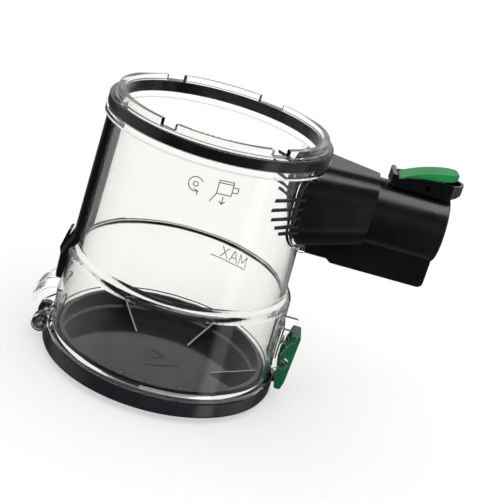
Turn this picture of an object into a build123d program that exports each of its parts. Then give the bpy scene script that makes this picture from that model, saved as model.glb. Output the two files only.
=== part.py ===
"""Clear dust bin of a stick vacuum: shell, drop-down flap, inlet duct and wand socket.

Millimetres, +Z up along the bin's axis. The origin is the centre of the flap's
underside, on which the bin stands. The inlet points along +X and the flap's
hinge is on the -X side. Apart from the rim's notches, the bin is its own mirror
image about the XZ plane.
"""
import os
from math import cos, radians, sin

from build123d import *

os.makedirs("parts", exist_ok=True)

# Fits
pin_clearance = 0.05
seat_gap = 0.15
running_gap = 0.4

# Clear shell, from the base ring up
wall = 2.4
base_ring_radius = 63.2
base_ring_width = 1.8
base_ring_height = 2.6
base_ring_slope = 1.2
lower_wall_height = 43.5
lower_wall_draft = 0.6
shoulder_inset = 3.8
shoulder_rise = 2.5
shoulder_lip_round = 3.2
shoulder_cove_round = 4.0
shoulder_inner_round = 3.2
upper_wall_height = 73.3
upper_wall_draft = 2.2
flange_width = 4.6
flange_height = 3.5
rim_wall = 3.1
rim_height = 3.4
rim_bore_length = 15.7
rim_bore_step = 0.1
bead_width = 1.8
bead_height = 1.0

# Bayonet notches in the rim, each with its own width
notch_angles = (64, 124.5, 244, 305)
notch_widths = (15.0, 11.5, 8.0, 9.5)
notch_depth = 3.4

# Rubber band in its seat round the rim
band_seat_step = 1.0
band_thickness = 2.5
band_height = 5.8
band_round = 0.9

# Bottom flap: a pan with a raised cup wall and a skirt that meets the base ring
flap_height = 11.5
flap_floor = 2.0
flap_plate = 2.2
flap_gap = 0.4
flap_foot_inset = 3.7
flap_foot_rise = 3.2
cup_clearance = 2.3
cup_wall = 2.2
cup_rise = 4.0
cup_ledge_rise = 4.0
cup_ledge_width = 1.3
skirt_overhang = 0.8
skirt_wall = 2.1
skirt_height = 8.0
skirt_chamfer = 1.3
gusset_angles = (0, 60, 120, 240, 300)
gusset_thickness = 1.6
gusset_reach = 25.0
gusset_height = 9.0
seal_height = 2.4
seal_lip = 0.9

# Flap hinge at the back: ears on the shell, knuckles on the flap, hollow pins
hinge_offset = 1.3
hinge_drop = 1.5
hinge_pin_radius = 2.4
hinge_pin_wall = 0.8
knuckle_wall = 2.2
knuckle_half_span = 9.6
knuckle_width = 4.4
hinge_ear_thickness = 3.2
hinge_ear_rise = 11.0

# Guard over the hinge
guard_half = 13.0
guard_thickness = 2.0
guard_radius = 11.5
guard_rise = 11.5
guard_offset = 0.7
guard_rib_width = 2.0
guard_rib_height = 1.0

# Flap latch at the front
latch_pivot_offset = 2.1
latch_pivot_rise = 11.3
latch_pin_radius = 1.3
latch_half = 7.1
latch_plate = 2.2
latch_cheek = 1.8
latch_rise = 16.9
latch_reach = 5.9
latch_lean = 1.7
latch_top_width = 4.8
latch_nose_height = 2.3
latch_nose_length = 3.6
latch_nose_round = 1.2
ear_thickness = 2.4
ear_over = 3.1
ear_inset = 2.6
ear_waist = 0.6
ear_boss_radius = 3.2
ear_corner = 1.2
catch_depth = 1.0
catch_half = 5.0
catch_height = 2.2
spring_seat_step = 0.4
latch_spring_rise = 10.2
latch_spring_radius = 2.3
latch_spring_wire = 0.4
latch_spring_turns = 4
wire_sides = 8

# Wand collar
socket_radius = 15.75
socket_length = 20.0
socket_relief_step = 0.55
socket_relief_length = 14.0
socket_seal_length = 2.0
collar_wall = 2.0
collar_length = 38.1
collar_drop = 16.6
collar_chamfer = 0.6
collar_bore_step = 1.55
collar_spigot_wall = 1.3
collar_spigot_length = 5.5

# Inlet duct: a rounded oblong at the bin that narrows to the collar
duct_foot_depth = 16.8
duct_length = 31.2
duct_wall = 2.2
duct_start_width = 68.2
duct_start_height = 48.0
duct_start_drop = 3.2
duct_start_corner = 16.0
duct_end_border = 0.6
duct_end_rise = 0.5
duct_end_corner = 14.5
duct_plate_offset = 3.8
port_width = 46.0
port_height = 32.0
port_corner = 12.0
port_drop = 1.7
gasket_thickness = 1.2
spigot_wall = 1.6
port_rib_width = 1.3
port_rib_height = 1.8

# Gusset fins beside the duct, from the top one down, measured from the collar's axis
fin_offsets = (4.8, -0.2, -5.2, -9.7, -13.2)
fin_tip_angles = (52.5, 53.0, 51.5, 47.5, 43.0)
fin_thickness = 1.4
fin_root_inset = 6.6

# Release lever and its cradle on the collar
cradle_start_gap = 4.6
cradle_overhang = 4.2
cradle_half = 8.6
cradle_wall = 1.4
cradle_floor = 1.2
cradle_corner = 2.0
cradle_end_height = 6.4
cradle_end_length = 2.4
cradle_dip_run = 3.4
cradle_dip_height = 4.9
cradle_hump_height = 8.0
cradle_tip_height = 8.6
cradle_rise_run = 3.6
cradle_rise = 3.4
cradle_tip_floor = 2.6
round_end_flat = 0.1
lever_pivot_run = 19.0
lever_pivot_rise = 3.4
lever_pin_radius = 1.2
lever_boss_wall = 0.7
lever_half = 6.7
lever_inner_gap = 4.0
lever_outer_gap = 3.7
pad_top_inner = 4.6
pad_top_middle = 11.1
pad_top_outer = 13.4
pad_tip_run = 2.8
pad_tip_middle = 12.0
pad_tip_bottom = 10.0
pad_tip_tuck = 1.4
pad_under_outer = 8.2
pad_under_inner = 5.6
pad_under_start = 3.4
pad_round = 1.0
tooth_run = 7.4
tooth_length = 4.0
tooth_half = 3.6
tooth_dip = 1.4
tooth_swing = 1.8
lever_spring_run = 7.0
lever_spring_radius = 2.1
lever_spring_wire = 0.35
lever_spring_turns = 4

# Contact housing under the collar, pinned to a lug of the shell
housing_half = 9.0
housing_drop = 31.2
housing_height = 18.5
housing_tail_rise = 1.8
housing_tail_length = 11.8
housing_step_run = 2.5
housing_round = 3.0
housing_end_inset = 0.6
housing_wall = 1.6
housing_roof = 1.85
housing_cavity_inset = 18.6
tongue_half = 5.6
tongue_height = 3.8
tongue_rise = 1.4
lug_reach = 2.9
lug_ear_thickness = 2.6
lug_ear_height = 5.8
lug_ear_rise = 0.8
lug_ear_round = 1.0
housing_pin_radius = 0.9
housing_pin_inset = 1.4
contact_block_length = 14.0
contact_recess = 6.0
contact_radius = 1.5
contact_wall = 0.5
contact_spread = 7.0
contact_length = 12.0

# Back rail with its catch hook
rail_thickness = 2.7
rail_half = 15.5
rail_top_gap = 0.3
rail_foot_length = 18.0
rail_foot_thickness = 2.8
hook_half = 5.0
hook_drop = 5.4
hook_height = 10.7
hook_thickness = 1.6

# Radii and heights that follow from the sizes above
lower_wall_bottom_radius = base_ring_radius - base_ring_width
lower_wall_top_radius = lower_wall_bottom_radius - lower_wall_draft
upper_wall_bottom_radius = lower_wall_top_radius - shoulder_inset
upper_wall_top_radius = upper_wall_bottom_radius - upper_wall_draft
lower_bore = lower_wall_bottom_radius - wall
flange_radius = upper_wall_top_radius + flange_width
rim_bore_radius = upper_wall_top_radius - wall - rim_bore_step
rim_radius = rim_bore_radius + rim_wall
bead_radius = rim_radius + bead_width
band_seat_radius = rim_radius + band_seat_step
band_radius = band_seat_radius + band_thickness
root_radius = lower_wall_top_radius - 3 * wall / 4

base_ring_bottom = flap_height + flap_gap
base_ring_top = base_ring_bottom + base_ring_height
shoulder_bottom = base_ring_top + lower_wall_height
shoulder_top = shoulder_bottom + shoulder_rise
flange_bottom = shoulder_top + upper_wall_height
flange_top = flange_bottom + flange_height
band_top = flange_top + band_height
bead_top = band_top + bead_height
rim_top = bead_top + rim_height
rim_bore_bottom = rim_top - rim_bore_length

cup_radius = lower_bore - cup_clearance
cup_bore = cup_radius - cup_wall
skirt_radius = base_ring_radius + skirt_overhang
skirt_bottom = flap_height - skirt_height
catch_reach = skirt_radius + catch_depth
hinge_x = -skirt_radius - hinge_offset
hinge_z = flap_height - hinge_drop
knuckle_radius = hinge_pin_radius + knuckle_wall
hinge_ear_inner = knuckle_half_span + running_gap
hinge_ear_outer = hinge_ear_inner + hinge_ear_thickness

latch_pivot_x = skirt_radius + latch_pivot_offset
latch_pivot_z = flap_height + latch_pivot_rise
latch_top = latch_pivot_z + latch_rise
latch_outer_x = latch_pivot_x + latch_reach
latch_inner_x = latch_outer_x - latch_plate
ear_inner = latch_half + running_gap
ear_outer = ear_inner + ear_thickness
ear_top = latch_top + ear_over
ear_reach = latch_outer_x - ear_inset
spring_seat_x = lower_wall_bottom_radius + spring_seat_step

collar_z = flange_bottom - collar_drop
collar_radius = socket_radius + collar_wall
collar_top = collar_z + collar_radius
collar_bore_radius = socket_radius - collar_bore_step
collar_spigot_radius = collar_bore_radius + collar_spigot_wall
duct_start_x = upper_wall_top_radius - duct_foot_depth
duct_end_x = upper_wall_top_radius + duct_length
duct_plate_x = upper_wall_top_radius + duct_plate_offset
collar_end_x = duct_end_x + collar_length
socket_start_x = collar_end_x - socket_length
socket_stop_x = socket_start_x - socket_relief_length
port_z = collar_z - port_drop

cradle_start_x = duct_end_x + cradle_start_gap
cradle_end_x = collar_end_x + cradle_overhang
cradle_bottom = collar_top + seat_gap
cradle_floor_top = cradle_bottom + cradle_floor
lever_pivot_x = cradle_start_x + lever_pivot_run
lever_pivot_z = cradle_bottom + lever_pivot_rise
lever_boss_radius = lever_pin_radius + lever_boss_wall
tooth_start_x = cradle_start_x + tooth_run

housing_bottom = collar_z - housing_drop
housing_top = housing_bottom + housing_height
housing_roof_z = collar_z - collar_radius - housing_roof
housing_end_x = collar_end_x - housing_end_inset


def wall_radius(height):
    """Outer radius of the upper wall at a height."""
    share = (height - shoulder_top) / upper_wall_height
    return upper_wall_bottom_radius - share * upper_wall_draft


lug_ear_bottom = housing_bottom + lug_ear_rise
lug_ear_top = lug_ear_bottom + lug_ear_height
lug_wall_radius = wall_radius(lug_ear_bottom)
lug_ear_reach = lug_wall_radius + lug_reach
lug_outer = tongue_half + seat_gap + lug_ear_thickness
tongue_start_x = lug_wall_radius + 2 * seat_gap
tongue_bottom = housing_bottom + tongue_rise
tongue_top = tongue_bottom + tongue_height
housing_start_x = lug_ear_reach + seat_gap
housing_pin_x = housing_start_x - housing_pin_inset
housing_pin_z = (tongue_bottom + tongue_top) / 2


def outer_points(gap):
    """Outside of the shell and its band, from the base up, grown by a gap."""
    return [
        (base_ring_radius + gap, base_ring_bottom),
        (base_ring_radius + gap, base_ring_top + gap),
        (lower_wall_bottom_radius + gap, base_ring_top + base_ring_slope + gap),
        (lower_wall_top_radius + gap, shoulder_bottom),
        (upper_wall_bottom_radius + gap, shoulder_top),
        (upper_wall_top_radius + gap, flange_bottom - gap),
        (flange_radius + gap, flange_bottom - gap),
        (flange_radius + gap, band_top + gap),
        (rim_radius + gap, band_top + gap),
        (rim_radius + gap, rim_top + gap),
    ]


def envelope(gap):
    """Solid of revolution that fills the shell's outside, grown by a gap."""
    points = outer_points(gap)
    with BuildPart() as filled:
        with BuildSketch(Plane.XZ) as profile:
            with BuildLine():
                Polyline((0, base_ring_bottom), *points, (0, rim_top + gap), close=True)
            make_face()
            lip, cove = points[3:5]
            fillet(profile.vertices().sort_by_distance(lip)[0], shoulder_lip_round + gap)
            fillet(profile.vertices().sort_by_distance(cove)[0], shoulder_cove_round - gap)
        revolve(axis=Axis.Z)
    return filled.part


def duct_loft(grow, start_x, end_x):
    """Ruled duct body between two stations, its section grown all round."""
    start_z = collar_z - duct_start_drop
    end_z = collar_z + duct_end_rise
    end_size = 2 * (collar_radius + duct_end_border)
    with BuildPart() as body:
        for station in (start_x, end_x):
            share = (station - duct_start_x) / (duct_end_x - duct_start_x)
            middle = start_z + share * (end_z - start_z)
            width = duct_start_width + share * (end_size - duct_start_width)
            height = duct_start_height + share * (end_size - duct_start_height)
            corner = duct_start_corner + share * (duct_end_corner - duct_start_corner)
            with BuildSketch(Plane.YZ.offset(station)):
                with Locations((0, middle)):
                    RectangleRounded(width + 2 * grow, height + 2 * grow, corner + grow)
        loft(ruled=True)
    return body.part


def port_prism(shrink, start_x, end_x):
    """Rounded oblong along X on the port's outline, shrunk all round."""
    with BuildPart() as prism:
        with BuildSketch(Plane.YZ.offset(start_x)):
            with Locations((0, port_z)):
                RectangleRounded(
                    port_width - 2 * shrink, port_height - 2 * shrink, port_corner - shrink
                )
        extrude(amount=end_x - start_x)
    return prism.part


def cross_pin(radius, half_length, x, z):
    """Pin along Y, centred on the XZ plane."""
    with BuildPart() as pin:
        with BuildSketch(Plane.XZ):
            with Locations((x, z)):
                Circle(radius)
        extrude(amount=half_length, both=True)
    return pin.part


def coil_spring(base, length, radius, wire, turns):
    """Compression spring that stands on a plane."""
    rise = length - 2 * wire
    with BuildPart() as coil:
        with BuildLine() as path:
            Helix(pitch=rise / turns, height=rise, radius=radius, center=(0, 0, wire))
        with BuildSketch(Plane(origin=path.line @ 0, z_dir=path.line % 0)):
            RegularPolygon(wire, wire_sides)
        sweep(is_frenet=True)
    return base.location * coil.part


def fin_outline(tip_angle):
    """Plan outline of one gusset fin on the -Y side."""
    fin_root_x = duct_plate_x - fin_root_inset
    tip = (
        upper_wall_bottom_radius * cos(radians(tip_angle)),
        -upper_wall_bottom_radius * sin(radians(tip_angle)),
    )
    share = (fin_root_x - duct_start_x) / (duct_end_x - duct_start_x)
    root_half = duct_start_width / 2
    root_half += share * (collar_radius + duct_end_border - duct_start_width / 2)
    root_half -= duct_wall / 2
    return [tip, (fin_root_x, -root_half), (duct_start_x, -root_half)]


def gusset_fins(grow):
    """All fins beside the duct, thickened for the slots that they pass through."""
    with BuildPart() as fins:
        for offset, tip_angle in zip(fin_offsets, fin_tip_angles):
            with BuildSketch(Plane.XY.offset(collar_z + offset - fin_thickness / 2 - grow)):
                with BuildLine():
                    Polyline(*fin_outline(tip_angle), close=True)
                make_face()
            extrude(amount=fin_thickness + 2 * grow)
        mirror(about=Plane.XZ)
    return fins.part


# Clear shell with its ears, guard, lug and port rib
port_rib = duct_loft(seat_gap + port_rib_width, duct_start_x, duct_end_x)
port_rib -= duct_loft(seat_gap, duct_start_x, duct_end_x)
port_rib &= envelope(port_rib_height)
port_rib &= Cylinder(flange_radius, flange_top, align=(Align.CENTER, Align.CENTER, Align.MIN))
port_rib -= envelope(-wall / 2)
port_rib -= gusset_fins(seat_gap)

with BuildPart() as bin_shell:
    with BuildSketch(Plane.XZ) as shell_profile:
        inner_lip = (lower_wall_top_radius - wall, shoulder_bottom - wall / 2)
        inner_cove = (upper_wall_bottom_radius - wall, shoulder_top - wall / 2)
        with BuildLine():
            Polyline(
                *outer_points(0)[:7],
                (flange_radius, flange_top),
                (band_seat_radius, flange_top),
                (band_seat_radius, band_top),
                (bead_radius, band_top),
                (bead_radius, bead_top),
                (rim_radius, bead_top),
                (rim_radius, rim_top),
                (rim_bore_radius, rim_top),
                (rim_bore_radius, rim_bore_bottom),
                inner_cove,
                inner_lip,
                (lower_bore, base_ring_bottom),
                close=True,
            )
        make_face()
        for place, rounding in (
            (outer_points(0)[3], shoulder_lip_round),
            (outer_points(0)[4], shoulder_cove_round),
            (inner_lip, shoulder_inner_round),
            (inner_cove, shoulder_inner_round),
        ):
            fillet(shell_profile.vertices().sort_by_distance(place)[0], rounding)
    revolve(axis=Axis.Z)

    # Two latch ears, with a boss at the pivot, a waist and a wide top
    with BuildSketch(Plane.XZ) as ear_profile:
        with BuildLine():
            Polyline(
                (root_radius, latch_pivot_z - ear_boss_radius),
                (latch_pivot_x, latch_pivot_z - ear_boss_radius),
                (latch_pivot_x, latch_pivot_z + ear_boss_radius),
                (latch_pivot_x - ear_waist, (latch_pivot_z + ear_top) / 2),
                (ear_reach, latch_top - ear_boss_radius),
                (ear_reach, ear_top),
                (root_radius, ear_top),
                close=True,
            )
        make_face()
        top_corner = (ear_reach, ear_top)
        fillet(ear_profile.vertices().sort_by_distance(top_corner)[0], ear_corner)
        with Locations((latch_pivot_x, latch_pivot_z)):
            Circle(ear_boss_radius)
    extrude(amount=ear_outer, both=True)
    with BuildSketch(Plane.XZ):
        with Locations((spring_seat_x, base_ring_top)):
            Rectangle(latch_outer_x - spring_seat_x, ear_top, align=(Align.MIN, Align.MIN))
    extrude(amount=ear_inner, both=True, mode=Mode.SUBTRACT)

    # Teardrop hinge ears
    for side in (-1, 1):
        with BuildSketch(Plane.XZ.offset(side * (hinge_ear_inner + hinge_ear_outer) / 2)):
            with Locations((hinge_x, hinge_z)):
                Circle(knuckle_radius)
            with BuildLine():
                Polyline(
                    (hinge_x, base_ring_bottom),
                    (hinge_x - 0.7 * knuckle_radius, hinge_z + 0.7 * knuckle_radius),
                    (-root_radius, hinge_z + hinge_ear_rise),
                    (-root_radius, base_ring_bottom),
                    close=True,
                )
            make_face()
        extrude(amount=hinge_ear_thickness / 2, both=True)

    # Quarter-round guard over the hinge, with a rib along its middle
    guard_x = -lower_wall_top_radius - guard_offset
    guard_z = hinge_z + guard_rise
    for half, outside, depth in (
        (guard_half, guard_radius, guard_thickness),
        (guard_rib_width / 2, guard_radius + guard_rib_height, 2 * guard_rib_height),
    ):
        with BuildSketch(Plane.XZ):
            with Locations((guard_x, guard_z)):
                Circle(outside)
                Circle(outside - depth, mode=Mode.SUBTRACT)
                Rectangle(outside, outside, align=(Align.MAX, Align.MIN), mode=Mode.INTERSECT)
            with Locations((guard_x, guard_z + outside)):
                Rectangle(-root_radius - guard_x, depth, align=(Align.MIN, Align.MAX))
        extrude(amount=half, both=True)

    # Pinned lug for the contact housing
    with BuildSketch(Plane.XZ):
        with Locations((lug_ear_reach, lug_ear_bottom)):
            RectangleRounded(
                lug_reach + 3 * wall / 4,
                lug_ear_height,
                lug_ear_round,
                align=(Align.MAX, Align.MIN),
            )
    extrude(amount=lug_outer, both=True)
    with BuildSketch(Plane.XZ):
        with Locations((tongue_start_x - seat_gap, lug_ear_bottom - seat_gap)):
            Rectangle(lug_reach, lug_ear_height + 2 * seat_gap, align=(Align.MIN, Align.MIN))
    extrude(amount=tongue_half + seat_gap, both=True, mode=Mode.SUBTRACT)

    # Rib round the duct's foot, then the port, the notches and the holes
    add(port_rib)
    add(port_prism(0, rim_bore_radius / 2, duct_end_x), mode=Mode.SUBTRACT)
    for angle, width in zip(notch_angles, notch_widths):
        with BuildSketch(Plane.XY.offset(rim_top - notch_depth)):
            with PolarLocations(rim_radius, 1, start_angle=angle):
                Rectangle(4 * wall, width)
        extrude(amount=2 * notch_depth, mode=Mode.SUBTRACT)
    add(
        cross_pin(knuckle_radius + running_gap, hinge_ear_inner, hinge_x, hinge_z),
        mode=Mode.SUBTRACT,
    )
    add(
        cross_pin(hinge_pin_radius + pin_clearance, 2 * hinge_ear_outer, hinge_x, hinge_z),
        mode=Mode.SUBTRACT,
    )
    add(
        cross_pin(latch_pin_radius + pin_clearance, 2 * ear_outer, latch_pivot_x, latch_pivot_z),
        mode=Mode.SUBTRACT,
    )
    add(
        cross_pin(housing_pin_radius + pin_clearance, ear_outer, housing_pin_x, housing_pin_z),
        mode=Mode.SUBTRACT,
    )

# Rubber band round the rim
with BuildPart() as rim_band:
    with BuildSketch(Plane.XZ) as band_profile:
        with Locations((band_seat_radius, flange_top)):
            Rectangle(band_thickness, band_height, align=(Align.MIN, Align.MIN))
        fillet(band_profile.vertices().group_by(Axis.X)[-1], band_round)
    revolve(axis=Axis.Z)

# Bottom flap
with BuildPart() as gusset:
    with BuildSketch(Plane.XZ):
        with BuildLine():
            Polyline(
                (cup_bore + cup_wall / 2, flap_floor / 2),
                (cup_bore + cup_wall / 2, flap_floor + gusset_height),
                (cup_bore, flap_floor + gusset_height),
                (cup_bore - gusset_reach, flap_floor),
                (cup_bore - gusset_reach, flap_floor / 2),
                close=True,
            )
        make_face()
    extrude(amount=gusset_thickness / 2, both=True)

with BuildPart() as bottom_flap:
    with BuildSketch(Plane.XZ):
        with BuildLine():
            Polyline(
                (0, 0),
                (cup_radius - flap_foot_inset, 0),
                (cup_radius, flap_foot_rise),
                (cup_radius, flap_height - flap_plate),
                (skirt_radius - skirt_wall, flap_height - flap_plate),
                (skirt_radius - skirt_wall, skirt_bottom),
                (skirt_radius - skirt_chamfer / 2, skirt_bottom),
                (skirt_radius, skirt_bottom + skirt_chamfer),
                (skirt_radius, flap_height),
                (cup_radius, flap_height),
                (cup_radius, flap_height + cup_rise),
                (cup_bore, flap_height + cup_rise),
                (cup_bore, flap_floor + cup_ledge_rise),
                (cup_bore - cup_ledge_width, flap_floor + cup_ledge_rise),
                (cup_bore - cup_ledge_width, flap_floor),
                (0, flap_floor),
                close=True,
            )
        make_face()
    revolve(axis=Axis.Z)
    for angle in gusset_angles:
        add(gusset.part.rotate(Axis.Z, angle))

    # Catch under which the latch's nose sits
    with BuildSketch(Plane.XZ):
        with Locations((catch_reach, flap_height)):
            Rectangle(
                catch_depth + skirt_wall / 2, catch_height, align=(Align.MAX, Align.MAX)
            )
    extrude(amount=catch_half, both=True)

    # Two hinge knuckles inside the shell's ears, and room for those ears
    for side in (-1, 1):
        with BuildSketch(Plane.XZ.offset(side * (knuckle_half_span - knuckle_width / 2))):
            with Locations((hinge_x, hinge_z)):
                Circle(knuckle_radius)
            with BuildLine():
                Polyline(
                    (hinge_x, flap_height),
                    (skirt_wall / 2 - skirt_radius, flap_height),
                    (skirt_wall / 2 - skirt_radius, hinge_z - knuckle_radius),
                    (hinge_x, hinge_z - knuckle_radius),
                    close=True,
                )
            make_face()
        extrude(amount=knuckle_width / 2, both=True)
        with BuildSketch(Plane.XZ.offset(side * (hinge_ear_inner + hinge_ear_outer) / 2)):
            with Locations((hinge_x, hinge_z)):
                Circle(knuckle_radius + running_gap)
        extrude(amount=hinge_ear_thickness / 2 + running_gap, both=True, mode=Mode.SUBTRACT)
    add(
        cross_pin(hinge_pin_radius + pin_clearance, 2 * hinge_ear_outer, hinge_x, hinge_z),
        mode=Mode.SUBTRACT,
    )

# Lip seal on the flap, round the cup wall
with BuildPart() as flap_seal:
    with BuildSketch(Plane.XZ):
        with BuildLine():
            Polyline(
                (cup_radius + seat_gap, flap_height),
                (lower_bore - running_gap, flap_height),
                (lower_bore - running_gap, flap_height + seal_height),
                (lower_bore - running_gap - seal_lip, flap_height + seal_height),
                (cup_radius + seat_gap, flap_height + seal_height / 2),
                close=True,
            )
        make_face()
    revolve(axis=Axis.Z)

# A short hollow pin through each ear and its knuckle
with BuildPart() as hinge_pin:
    add(cross_pin(hinge_pin_radius, hinge_ear_outer, hinge_x, hinge_z))
    add(
        cross_pin(hinge_pin_radius - hinge_pin_wall, 2 * hinge_ear_outer, hinge_x, hinge_z),
        mode=Mode.SUBTRACT,
    )
    add(
        cross_pin(2 * hinge_pin_radius, knuckle_half_span - knuckle_width, hinge_x, hinge_z),
        mode=Mode.SUBTRACT,
    )

# Flap latch: an outer plate with two cheeks and a nose
nose_top = flap_height - catch_height - running_gap
nose_bottom = nose_top - latch_nose_height
nose_x = catch_reach + running_gap
with BuildPart() as flap_latch:
    with BuildSketch(Plane.XZ) as latch_profile:
        with BuildLine():
            Polyline(
                (nose_x, nose_bottom),
                (nose_x + latch_nose_length, nose_bottom),
                (latch_outer_x - latch_lean, flap_height),
                (latch_outer_x, latch_top),
                (latch_outer_x - latch_top_width, latch_top),
                (latch_pivot_x - latch_plate, latch_pivot_z + ear_boss_radius),
                (latch_pivot_x - latch_plate, latch_pivot_z - ear_boss_radius),
                (nose_x, flap_height + running_gap),
                close=True,
            )
        make_face()
        for place in (
            (nose_x, nose_bottom),
            (nose_x + latch_nose_length, nose_bottom),
            (latch_outer_x, latch_top),
        ):
            fillet(latch_profile.vertices().sort_by_distance(place)[0], latch_nose_round)
    extrude(amount=latch_half, both=True)
    with BuildSketch(Plane.XZ):
        with BuildLine():
            Polyline(
                (spring_seat_x, latch_top),
                (latch_inner_x, latch_top - latch_plate),
                (latch_inner_x - latch_lean, base_ring_top),
                (spring_seat_x, base_ring_top),
                close=True,
            )
        make_face()
    extrude(amount=latch_half - latch_cheek, both=True, mode=Mode.SUBTRACT)
    add(
        cross_pin(latch_pin_radius + pin_clearance, ear_outer, latch_pivot_x, latch_pivot_z),
        mode=Mode.SUBTRACT,
    )

with BuildPart() as latch_pin:
    add(cross_pin(latch_pin_radius, ear_outer, latch_pivot_x, latch_pivot_z))

# Spring between the shell and the latch's plate, which leans
latch_spring_z = latch_pivot_z + latch_spring_rise
plate_share = (latch_top - latch_plate - latch_spring_z) / (latch_top - latch_plate - base_ring_top)
latch_spring = coil_spring(
    Plane(
        origin=(spring_seat_x + seat_gap, 0, latch_spring_z),
        x_dir=(0, 1, 0),
        z_dir=(1, 0, 0),
    ),
    latch_inner_x - plate_share * latch_lean - spring_seat_x - 3 * seat_gap,
    latch_spring_radius,
    latch_spring_wire,
    latch_spring_turns,
)

# Inlet duct: tapered hood, inner plate, port spigot and gusset fins
spigot_shrink = gasket_thickness + 2 * seat_gap
with BuildPart() as inlet_duct:
    add(duct_loft(0, duct_start_x, duct_end_x))
    add(duct_loft(-duct_wall, duct_start_x, duct_plate_x), mode=Mode.SUBTRACT)
    add(
        duct_loft(-duct_wall, duct_plate_x + duct_wall, duct_end_x - duct_wall),
        mode=Mode.SUBTRACT,
    )
    add(gusset_fins(0))
    add(envelope(seat_gap), mode=Mode.SUBTRACT)
    add(port_prism(spigot_shrink, rim_bore_radius / 2, duct_plate_x))
    add(
        port_prism(spigot_shrink + spigot_wall, rim_bore_radius / 2, duct_plate_x + duct_wall),
        mode=Mode.SUBTRACT,
    )
    with BuildSketch(Plane.XY.offset(housing_bottom)):
        Circle(wall_radius(port_z) - wall)
    extrude(amount=rim_top - housing_bottom, mode=Mode.SUBTRACT)
    with BuildSketch(Plane.YZ.offset(duct_end_x - 2 * duct_wall)):
        with Locations((0, collar_z)):
            Circle(collar_spigot_radius + seat_gap)
    extrude(amount=3 * duct_wall, mode=Mode.SUBTRACT)

# Rubber gasket between the port and the spigot
with BuildPart() as duct_gasket:
    add(port_prism(seat_gap, rim_bore_radius / 2, duct_plate_x - seat_gap))
    add(
        port_prism(seat_gap + gasket_thickness, rim_bore_radius / 2, duct_plate_x),
        mode=Mode.SUBTRACT,
    )
    with BuildSketch(Plane.XY.offset(housing_bottom)):
        Circle(wall_radius(port_z) - wall)
    extrude(amount=rim_top - housing_bottom, mode=Mode.SUBTRACT)

# Wand collar, turned about its own axis
with BuildPart() as inlet_collar:
    with BuildSketch(Plane.XZ) as collar_profile:
        with BuildLine():
            Polyline(
                (duct_end_x - collar_spigot_length, collar_z + collar_bore_radius),
                (duct_end_x - collar_spigot_length, collar_z + collar_spigot_radius),
                (duct_end_x, collar_z + collar_spigot_radius),
                (duct_end_x, collar_z + collar_radius),
                (collar_end_x, collar_z + collar_radius),
                (collar_end_x, collar_z + socket_radius),
                (socket_start_x, collar_z + socket_radius),
                (socket_start_x, collar_z + socket_radius + socket_relief_step),
                (socket_stop_x, collar_z + socket_radius + socket_relief_step),
                (socket_stop_x, collar_z + collar_bore_radius),
                close=True,
            )
        make_face()
        mouth_edge = collar_profile.vertices().group_by(Axis.X)[-1].sort_by(Axis.Y)[-1]
        chamfer(mouth_edge, collar_chamfer)
    revolve(axis=Axis((0, 0, collar_z), (1, 0, 0)))
    with BuildSketch(Plane.XY.offset(collar_z)):
        with Locations((tooth_start_x - tooth_swing, 0)):
            Rectangle(
                tooth_length + tooth_swing + running_gap,
                2 * (tooth_half + running_gap),
                align=(Align.MIN, Align.CENTER),
            )
    extrude(amount=2 * collar_radius, mode=Mode.SUBTRACT)

# Rubber ring at the bottom of the socket
with BuildPart() as socket_seal:
    with BuildSketch(Plane.YZ.offset(socket_stop_x)):
        with Locations((0, collar_z)):
            Circle(socket_radius + socket_relief_step - seat_gap)
            Circle(collar_bore_radius + seat_gap, mode=Mode.SUBTRACT)
    extrude(amount=socket_seal_length)

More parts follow.
